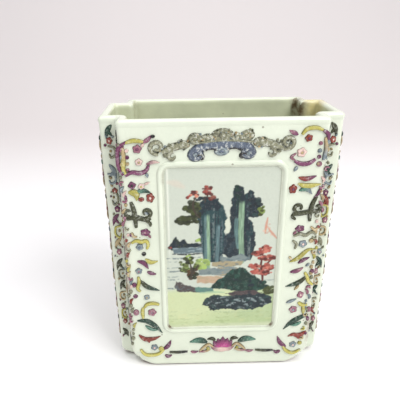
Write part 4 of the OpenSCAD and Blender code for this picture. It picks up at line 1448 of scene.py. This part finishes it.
def porcelain(w, shader):
    """Clear glaze over a white body; the wear attribute holds worn line, grime mixed with painted shade,
    inside and yellowing.
    """
    wear = w.attribute("wear")
    line, dirt_and_shade, inside = w.colour_parts(wear["Color"])
    outer = w.group("Glaze_Unevenness", thin_colour=shade("glaze"), thick_colour=shade("cool_glaze"),
                    scale=55.0)
    inner = w.group("Glaze_Unevenness", thin_colour=shade("inner_glaze"),
                    thick_colour=shade("inner_glaze", 0.78), scale=40.0, amount=0.9)
    base = w.blend(inside, outer, inner)
    aged = w.group("Broken_Wear", mask=wear["Alpha"], scale=160.0)
    base = w.blend(aged, base, shade("yellowed"))
    worn = w.group("Broken_Wear", mask=line, scale=420.0, break_up=0.75)
    base = w.blend(worn, base, shade("arris_line"))
    # this mask paints real stains, the darkening at the foot, and painted shade in the steps' inner corners
    # and the frames' grooves, all in the stain colour
    soiled_and_shaded = w.group("Broken_Wear", mask=dirt_and_shade, scale=230.0, break_up=0.6)
    base = w.blend(soiled_and_shaded, base, shade("stain"))
    specks = w.group("Kiln_Specks", rarity=0.93, size=0.12)
    w.feed(shader["Base Color"], w.blend(w.times(specks, 0.55), base, shade("stain")))
    w.feed(shader["Roughness"], w.math("ADD", w.times(soiled_and_shaded, 0.5), 0.16, clamp=True))
    w.feed(shader["Coat Weight"], 0.35)
    w.feed(shader["Coat Roughness"], 0.08)
    glaze_bump(w, shader, 0.0002)


def foot_biscuit(w, shader):
    """The bare, sandy ring where the pot stood in the kiln, running up under the glaze."""
    place = w.place()
    lift = w.times(w.noise(place, scale=180.0, detail=3.0), 0.0007)
    glazed = w.ramp(w.math("SUBTRACT", w.place_parts(place)["Z"], lift), 0.0014, 0.0020)
    grit = w.group("Glaze_Unevenness", thin_colour=shade("biscuit"), thick_colour=shade("biscuit", 0.6),
                   scale=900.0)
    cover = w.group("Glaze_Unevenness", thin_colour=shade("glaze"), thick_colour=shade("cool_glaze"))
    w.feed(shader["Base Color"], w.blend(glazed, grit, cover))
    w.feed(shader["Roughness"], w.math("ADD", w.times(glazed, -0.65), 0.85))
    glaze_bump(w, shader, 0.0003, 1600.0, 300.0)


def fired_enamel(w, shader, fleck, roughness, depth):
    """Enamel fired on relief or ground: each point's tint, flecked and slightly crackled."""
    w.feed(shader["Base Color"], w.group("Enamel_Fleck", tint=w.attribute("tint")["Color"], amount=fleck))
    w.feed(shader["Roughness"], roughness)
    w.feed(shader["Specular IOR Level"], 0.35)
    glaze_bump(w, shader, depth, 1100.0, 260.0)


def paper(w, shader):
    """The pale sweep, a little greyer and warmer far behind the pot, as painted shade for the dimmer light
    there.
    """
    tone = w.group("Glaze_Unevenness", thin_colour=shade("paper"), thick_colour=shade("paper", 0.98),
                   scale=6.0)
    far = w.ramp(w.place_parts(w.place())["Y"], 0.10, 0.48)
    w.feed(shader["Base Color"], w.blend(far, tone, shade("far_paper")))
    w.feed(shader["Roughness"], 0.85)


ENAMELS = {                         # flecking, roughness, and the depth of the skin in metres
    "Scroll_Enamel": (0.32, 0.26, 0.00012),
    "Collar_Enamel": (0.70, 0.34, 0.0002),
    "Lotus_Enamel": (0.20, 0.24, 0.0001),
    "Painted_Enamel": (0.05, 0.22, 0.00008),
}


def enamelled(name):
    """One of the enamels' materials."""
    return finished(name, fired_enamel, *ENAMELS[name])


def near(distance, reach):
    """1 at a place, falling away over about the reach."""
    return np.exp(-(distance / reach) ** 2)


STAIN_FROM = 98                     # height where the brown stain and the yellowing start
LEFT_WEAR, RIGHT_WEAR = (38, 76), 30    # worn most between these heights on the left, below this on the right


def wear_and_shade_masks(points):
    """For each point: worn arris line, grime mixed with painted shade, inside and yellowing."""
    x, y, z = points.T
    ax, ay = np.abs(x), np.abs(y)
    inner = inside_pot(ax, ay, z)
    hollow_x, hollow_y = STEP_X - WALL, STEP_Y - WALL       # the inner edges of the steps
    line = np.maximum(near(np.hypot(ax - STEP_X, ay - FACE_Y), 1.2),
                      0.55 * near(np.hypot(ax - FACE_X, ay - STEP_Y), 0.7))
    left_wear = 0.55 + 0.8 * smooth((z - LEFT_WEAR[0]) / 8) * smooth((LEFT_WEAR[1] - z) / 8)
    right_wear = 0.65 + 0.4 * smooth((RIGHT_WEAR - z) / 10)
    worn = line * smooth((z - 8) / 8) * smooth((POT_TOP - 4 - z) / 6) * np.where(x < 0, left_wear,
                                                                                 right_wear)
    # painted shade down the concave inner corner of each indented corner, in the stain colour
    step_corner_shade = 0.22 * near(np.hypot(ax - STEP_X, ay - STEP_Y), 1.3) * smooth((POT_TOP - 2 - z) / 4)
    # browner and darker over the lowest millimetre of the walls, along the floor
    foot_darkening = 0.75 * smooth((1.0 - z) / 0.6)
    stain = (1.1 * smooth((x - hollow_x + 2.6) / 1.6) * smooth((hollow_x + 5.0 - x) / 3.5)
             * smooth((y - hollow_y + 1.5) / 2.0) * smooth((z - STAIN_FROM) / 9))
    faint_stain = 0.3 * near(x + hollow_x, 2.6) * smooth((y - hollow_y) / 4.0)
    lip_stain = (0.75 * near(x - hollow_x - 0.5, 2.2) * near(y - hollow_y - 4.5, 4.0)
                 * smooth((z - RIM_LOW - 0.6) / 2.0))
    dirt_and_shade = np.where(inner, np.maximum(stain, faint_stain), np.maximum(step_corner_shade, foot_darkening))
    aged = (smooth((x - hollow_x) / 5.0) * smooth((y - hollow_y + 10.0) / 7.0)
            * smooth((z - STAIN_FROM) / 10))
    return np.column_stack([np.where(inner, 0, np.clip(worn, 0, 1)),
                            np.clip(np.maximum(dirt_and_shade, lip_stain), 0, 1), inner * 1.0, aged])


def inside_pot(ax, ay, z):
    """True for points on the inner side of the walls, from how far out they are either way."""
    past = 0.6 - WALL
    deep_wide = (ax < STEP_X + past) & (ay < FACE_Y + past)
    deep_long = (ax < FACE_X + past) & (ay < STEP_Y + past)
    return (deep_wide | deep_long) & (z > FLOOR_TOP - 3.0)


def make_porcelain(name, clay, replaced, crease=SLAB_CREASE, groove=None):
    """A glazed piece, with the painted shade and grime of a frame's groove added where given."""
    wear = wear_and_shade_masks(clay.all_points())
    if groove is not None:
        wear[:, 1] = np.maximum(wear[:, 1], groove)
    make_piece(name, clay, finished("Porcelain", porcelain), replaced, crease, wear)


# ---------------------------------------------------------------- panel frames

FRAME_ROOT = -0.9                   # how far a frame is pressed into the wall
FRAME_BEND_STEPS, FRAME_SPACING = 10, 2.5
FRAME_SPOTS = (                     # dirty places: which end, how high, how strong
    (-1, BEAD_HIGH - 5.6, 1.0), (-1, BEAD_LOW + 1.6, 0.9), (1, BEAD_LOW + 1.6, 0.6))
SPOT_REACH = math.sqrt(3.0)


def frame_path(half):
    """Round a rounded rectangle: the corner's centre and the way out from it, for each place."""
    x, low, high = half - PANEL_ROUND, BEAD_LOW + PANEL_ROUND, BEAD_HIGH - PANEL_ROUND
    corners = []
    for cx, cz, start in ((x, low, -90), (x, high, 0), (-x, high, 90), (-x, low, 180)):
        for i in range(FRAME_BEND_STEPS + 1):
            a = math.radians(start + 90 / FRAME_BEND_STEPS * i)
            corners.append((cx, cz, math.cos(a), math.sin(a)))
    path = []
    for one, two in zip(corners, corners[1:] + corners[:1]):
        path.append(one)
        steps = int(math.dist(one[:2], two[:2]) / FRAME_SPACING)
        for i in range(1, steps):
            path.append((mix(one[0], two[0], i / steps), mix(one[1], two[1], i / steps), *one[2:]))
    return path


def frame_clay(face):
    """A bead, a groove and a step down to the ground, swept round a rounded rectangle, with the painted shade
    and grime that each point holds."""
    wide = face in WIDE_FACES
    half = BEAD_X if wide else SIDE_BEAD_X
    bead, depth = size("bead_height"), size("ground_depth")
    section = [(1.35, FRAME_ROOT), (1.35, 0.02), (1.15, 0.12), (0.92, bead * 0.6), (0.6, bead * 0.93),
               (0.15, bead), (-0.3, bead * 0.9), (-0.65, bead * 0.5), (-0.95, 0.06), (-1.2, 0.02),
               (-1.45, 0.0), (-1.6, -depth * 0.7), (-1.75, -depth - 0.02), (-1.75, FRAME_ROOT)]
    rows, dirt_and_shade = [], []
    for cx, cz, nx, nz in frame_path(half):
        rows.append([(cx + nx * (PANEL_ROUND + o), h, cz + nz * (PANEL_ROUND + o)) for o, h in section])
        corner = 1.0 if min(abs(nx), abs(nz)) > 0.1 else 0.0
        here = (cx + nx * PANEL_ROUND, cz + nz * PANEL_ROUND)
        spot = wide * sum(strong * near(math.dist(here, (end * (half - 1.4), z)), SPOT_REACH)
                          for end, z, strong in FRAME_SPOTS)
        # painted shade all along the groove and the step down, darker at the corners, with grime at the spots
        dirt_and_shade.append([0.28 + 0.15 * corner + 0.8 * spot if o < -0.9 else 0.5 * spot * (o < 0)
                     for o, _ in section])
    clay, count = Clay(), len(rows) * len(section)
    faces = [tuple(v % count for v in face_points)
             for face_points in grid_faces(len(rows) + 1, len(section), wrap=True)]
    clay.add(on_face(rows, face), faces)
    return clay, np.array(dirt_and_shade).ravel()


# ---------------------------------------------------------------- operators

NARROW_SQUEEZE = 0.42               # a narrow face's pattern against a wide one's


def press_on_faces(pattern, seed, name, node, material):
    """One pattern pressed on every face, squeezed on the narrow ones."""
    for face in FACE_TURN:
        wide = face in WIDE_FACES
        s = Sprigs(face, across=1.0 if wide else NARROW_SQUEEZE, seed=seed, by_hand=wide)
        pattern(s)
        make_piece(f"{face}_{name}", s, enamelled(material), [f"{face}_{node}"], RELIEF_CREASE)


class BRUSHPOT_OT_walls(bpy.types.Operator):
    """Make the four slab walls with their sunk picture grounds"""
    bl_idname = "brush_pot.walls"
    bl_label = "Slab Walls"

    def execute(self, context):
        for name in ("front", "back", "left", "right"):
            half, out = (SEAM_X, FACE_Y) if name in WIDE_FACES else (SEAM_Y, FACE_X)
            clay = wall_clay(face_stations(half, out, SLAB_SPACING, name))
            make_porcelain(f"{name}_slab", clay, [f"{name}_wall"])
        return {"FINISHED"}


class BRUSHPOT_OT_corners(bpy.types.Operator):
    """Make the four indented corners"""
    bl_idname = "brush_pot.corners"
    bl_label = "Indented Corners"

    def execute(self, context):
        for side, sx in (("left", -1), ("right", 1)):
            for depth, sy in (("front", -1), ("back", 1)):
                make_porcelain(f"{depth}_{side}_step", wall_clay(corner_at(sx, sy)),
                               [f"corner_{depth}_{side}"])
        return {"FINISHED"}


class BRUSHPOT_OT_mouth_and_foot(bpy.types.Operator):
    """Make the lip, the floor slab and the foot ring"""
    bl_idname = "brush_pot.mouth_and_foot"
    bl_label = "Lip, Floor and Foot"

    def execute(self, context):
        make_porcelain("lip", ring_clay(rim_profile), ["mouth_rim"], RING_CREASE)
        make_porcelain("floor_tile", floor_clay(), ["base_slab"])
        foot, sandy = ring_clay(foot_profile), finished("Foot_Biscuit", foot_biscuit)
        make_piece("foot", foot, sandy, ["foot_ring"], RING_CREASE, wear_and_shade_masks(foot.all_points()))
        return {"FINISHED"}


class BRUSHPOT_OT_panel_frames(bpy.types.Operator):
    """Make the beaded moulding round each picture"""
    bl_idname = "brush_pot.panel_frames"
    bl_label = "Panel Frames"

    def execute(self, context):
        for face in FACE_TURN:
            clay, groove = frame_clay(face)
            make_porcelain(f"{face}_bead", clay, [f"{face}_panel_frame"], RING_CREASE,
                           groove)
        return {"FINISHED"}


class BRUSHPOT_OT_scrolls(bpy.types.Operator):
    """Press the scroll columns either side of each picture"""
    bl_idname = "brush_pot.scrolls"
    bl_label = "Scroll Columns"

    def execute(self, context):
        relief = enamelled("Scroll_Enamel")
        for face, mirror, seed in (("front", False, 1), ("back", True, 3)):
            for side, column, toward in (("left", left_column, -1), ("right", right_column, 1)):
                s = Sprigs(face, mirror=mirror, seed=seed, by_hand=True)
                column(s)
                edge_trail(s, toward)
                make_piece(f"{face}_{side}_column", s, relief, [f"{face}_scrolls_{side}"],
                           RELIEF_CREASE)
        middle = (SIDE_BEAD_X + FRAME_BAND + STEP_Y - 0.2) / 2
        for face in ("left", "right"):
            for depth, seed in (("front", 11), ("back", 12)):
                toward = -1 if (face == "right") == (depth == "front") else 1
                s = Sprigs(face, middle=toward * middle, mirror=toward > 0, seed=seed)
                narrow_column(s)
                make_piece(f"{face}_{depth}_column", s, relief, [f"{face}_scrolls_{depth}"],
                           RELIEF_CREASE)
        return {"FINISHED"}


class BRUSHPOT_OT_collars(bpy.types.Operator):
    """Press the cloud collar below the lip on each face"""
    bl_idname = "brush_pot.collars"
    bl_label = "Cloud Collars"

    def execute(self, context):
        press_on_faces(cloud_collar, 5, "collar", "cloud_collar", "Collar_Enamel")
        return {"FINISHED"}


class BRUSHPOT_OT_lotuses(bpy.types.Operator):
    """Press the lotus below each picture"""
    bl_idname = "brush_pot.lotuses"
    bl_label = "Lotus Sprays"

    def execute(self, context):
        press_on_faces(lotus, 7, "lotus", "lotus_spray", "Lotus_Enamel")
        return {"FINISHED"}


class BRUSHPOT_OT_corner_sprays(bpy.types.Operator):
    """Press the small sprigs on the faces of the indented corners"""
    bl_idname = "brush_pot.corner_sprays"
    bl_label = "Corner Sprays"

    def execute(self, context):
        along_wide, along_narrow = (STEP_X + FACE_X) / 2, (STEP_Y + FACE_Y) / 2
        for depth in ("front", "back"):
            for side in ("left", "right"):
                wide_run, narrow_run = (LEFT_STEP, RIGHT_STEP) if side == "left" else (RIGHT_STEP,
                                                                                       LEFT_STEP)
                toward = 1 if (side == "right") == (depth == "front") else -1
                s = Sprigs(depth, middle=toward * along_wide, mirror=toward < 0, out=STEP_Y, seed=21)
                step_strip(s, wide_run)
                other = Sprigs(side, middle=-toward * along_narrow, mirror=toward < 0, out=STEP_X,
                               seed=22)
                step_strip(other, narrow_run)
                s.add(other.all_points(), other.faces, np.vstack(other.tints))
                make_piece(f"{depth}_{side}_spray", s, enamelled("Scroll_Enamel"),
                           [f"corner_spray_{depth}_{side}"], RELIEF_CREASE)
        return {"FINISHED"}


class BRUSHPOT_OT_pictures(bpy.types.Operator):
    """Paint the pictures on the sunk grounds"""
    bl_idname = "brush_pot.pictures"
    bl_label = "Painted Pictures"

    def execute(self, context):
        for seed, face in enumerate(("front", "back", "left", "right"), 1):
            p = Picture(face, seed)
            (lake_picture if face in WIDE_FACES else slim_picture)(p)
            make_piece(f"{face}_picture", p.clay(), enamelled("Painted_Enamel"), (),
                       RELIEF_CREASE)
        return {"FINISHED"}


class BRUSHPOT_OT_stage(bpy.types.Operator):
    """Set the paper sweep, the lights and the camera"""
    bl_idname = "brush_pot.stage"
    bl_label = "Stage"

    def execute(self, context):
        paper_sweep()
        studio_light()
        camera()
        context.scene.view_settings.view_transform = "Standard"
        return {"FINISHED"}


# ---------------------------------------------------------------- stage, in metres

SWEEP_WIDTH, SWEEP_NEAR, SWEEP_FAR, SWEEP_BEND, SWEEP_TOP = 3.0, -1.5, 0.9, 0.5, 2.2
SWEEP_STEPS = 12
SKY, SKY_STRENGTH = (0.95, 0.96, 1.0, 1.0), 0.42
LAMPS = (                           # name, place, what it points at, width, watts
    ("window", (0.50, -0.50, 0.75), (0.0, 0.0, 0.06), 0.5, 6.0),
    ("ceiling", (-0.1, -0.1, 1.0), (0.0, 0.0, 0.0), 1.0, 6.0),
)
CAMERA_PLACE = (-0.01649, -0.19082, 0.15709)
CAMERA_PITCH, CAMERA_YAW, CAMERA_ROLL = 21.61, 0.47, -0.91      # degrees down, right and over
CAMERA_SENSOR, CAMERA_LENS = 36.0, 39.92                        # millimetres
CAMERA_SHIFT = (0.0365, -0.0235)


def paper_sweep():
    """A floor that curves up behind the pot."""
    start = SWEEP_FAR - SWEEP_BEND
    line = [(SWEEP_NEAR, 0.0), (0.0, 0.0), (start, 0.0)]
    for i in range(1, SWEEP_STEPS + 1):
        a = math.radians(90.0 * i / SWEEP_STEPS)
        line.append((start + SWEEP_BEND * math.sin(a), SWEEP_BEND * (1 - math.cos(a))))
    line.append((SWEEP_FAR, SWEEP_TOP))
    points = [(x, y, z) for y, z in line for x in (-SWEEP_WIDTH / 2, SWEEP_WIDTH / 2)]
    mesh = bpy.data.meshes.new("paper_sweep")
    mesh.from_pydata(points, [], grid_faces(len(line), 2, flip=True))
    mesh.shade_smooth()
    mesh.materials.append(finished("Paper", paper))
    shown("paper_sweep", mesh)


def studio_light():
    """An even sky, a window and a soft ceiling light."""
    world = bpy.data.worlds.new("Studio")
    bpy.context.scene.world = world
    world.use_nodes = True
    sky = world.node_tree.nodes["Background"].inputs
    sky["Color"].default_value = SKY
    sky["Strength"].default_value = SKY_STRENGTH
    for name, place, aim, width, power in LAMPS:
        lamp = bpy.data.lights.new(name, "AREA")
        lamp.size = width
        lamp.energy = power
        holder = shown(name, lamp)
        holder.location = place
        holder.rotation_euler = (Vector(aim) - Vector(place)).to_track_quat("-Z", "Y").to_euler()


def camera():
    """The viewpoint: a little left of the middle, looking down at the front."""
    pitch, yaw, roll = (math.radians(a) for a in (CAMERA_PITCH, CAMERA_YAW, CAMERA_ROLL))
    ahead = Vector((math.sin(yaw) * math.cos(pitch), math.cos(yaw) * math.cos(pitch), -math.sin(pitch)))
    across = Vector((math.cos(yaw), -math.sin(yaw), 0.0))
    upward = across.cross(ahead)
    right = math.cos(roll) * across + math.sin(roll) * upward
    up = -math.sin(roll) * across + math.cos(roll) * upward
    lens = bpy.data.cameras.new("viewpoint")
    lens.sensor_width, lens.lens = CAMERA_SENSOR, CAMERA_LENS
    lens.shift_x, lens.shift_y = CAMERA_SHIFT
    holder = shown("viewpoint", lens)
    turn = Matrix((right, up, -ahead)).transposed()
    holder.matrix_world = Matrix.Translation(Vector(CAMERA_PLACE)) @ turn.to_4x4()
    bpy.context.scene.camera = holder


# ---------------------------------------------------------------- panel and run

STEPS = (BRUSHPOT_OT_walls, BRUSHPOT_OT_corners, BRUSHPOT_OT_mouth_and_foot, BRUSHPOT_OT_panel_frames,
         BRUSHPOT_OT_scrolls, BRUSHPOT_OT_collars, BRUSHPOT_OT_lotuses, BRUSHPOT_OT_corner_sprays,
         BRUSHPOT_OT_pictures, BRUSHPOT_OT_stage)


class BRUSHPOT_PT_panel(bpy.types.Panel):
    """Lists the sizes, colours and making steps"""
    bl_idname = "BRUSHPOT_PT_panel"
    bl_label = "Porcelain Brush Pot"
    bl_space_type = "VIEW_3D"
    bl_region_type = "UI"
    bl_category = "Brush Pot"

    def draw(self, context):
        for group in (context.scene.brush_pot_sizes, context.scene.brush_pot_colours):
            column = self.layout.column(align=True)
            for name in group.bl_rna.properties.keys():
                if name not in ("rna_type", "name"):
                    column.prop(group, name)
        for step in STEPS:
            self.layout.operator(step.bl_idname)


CLASSES = (BrushPotSizes, BrushPotColours, *STEPS, BRUSHPOT_PT_panel)


def register():
    """Makes the classes and the panel's properties known."""
    for each in CLASSES:
        bpy.utils.register_class(each)
    bpy.types.Scene.brush_pot_sizes = bpy.props.PointerProperty(type=BrushPotSizes)
    bpy.types.Scene.brush_pot_colours = bpy.props.PointerProperty(type=BrushPotColours)


def unregister():
    """Takes them away again."""
    del bpy.types.Scene.brush_pot_colours
    del bpy.types.Scene.brush_pot_sizes
    for each in reversed(CLASSES):
        bpy.utils.unregister_class(each)


def main():
    """Makes every piece and the stage."""
    register()
    for step in STEPS:
        group, call = step.bl_idname.split(".")
        getattr(getattr(bpy.ops, group), call)()


if __name__ == "__main__":
    main()
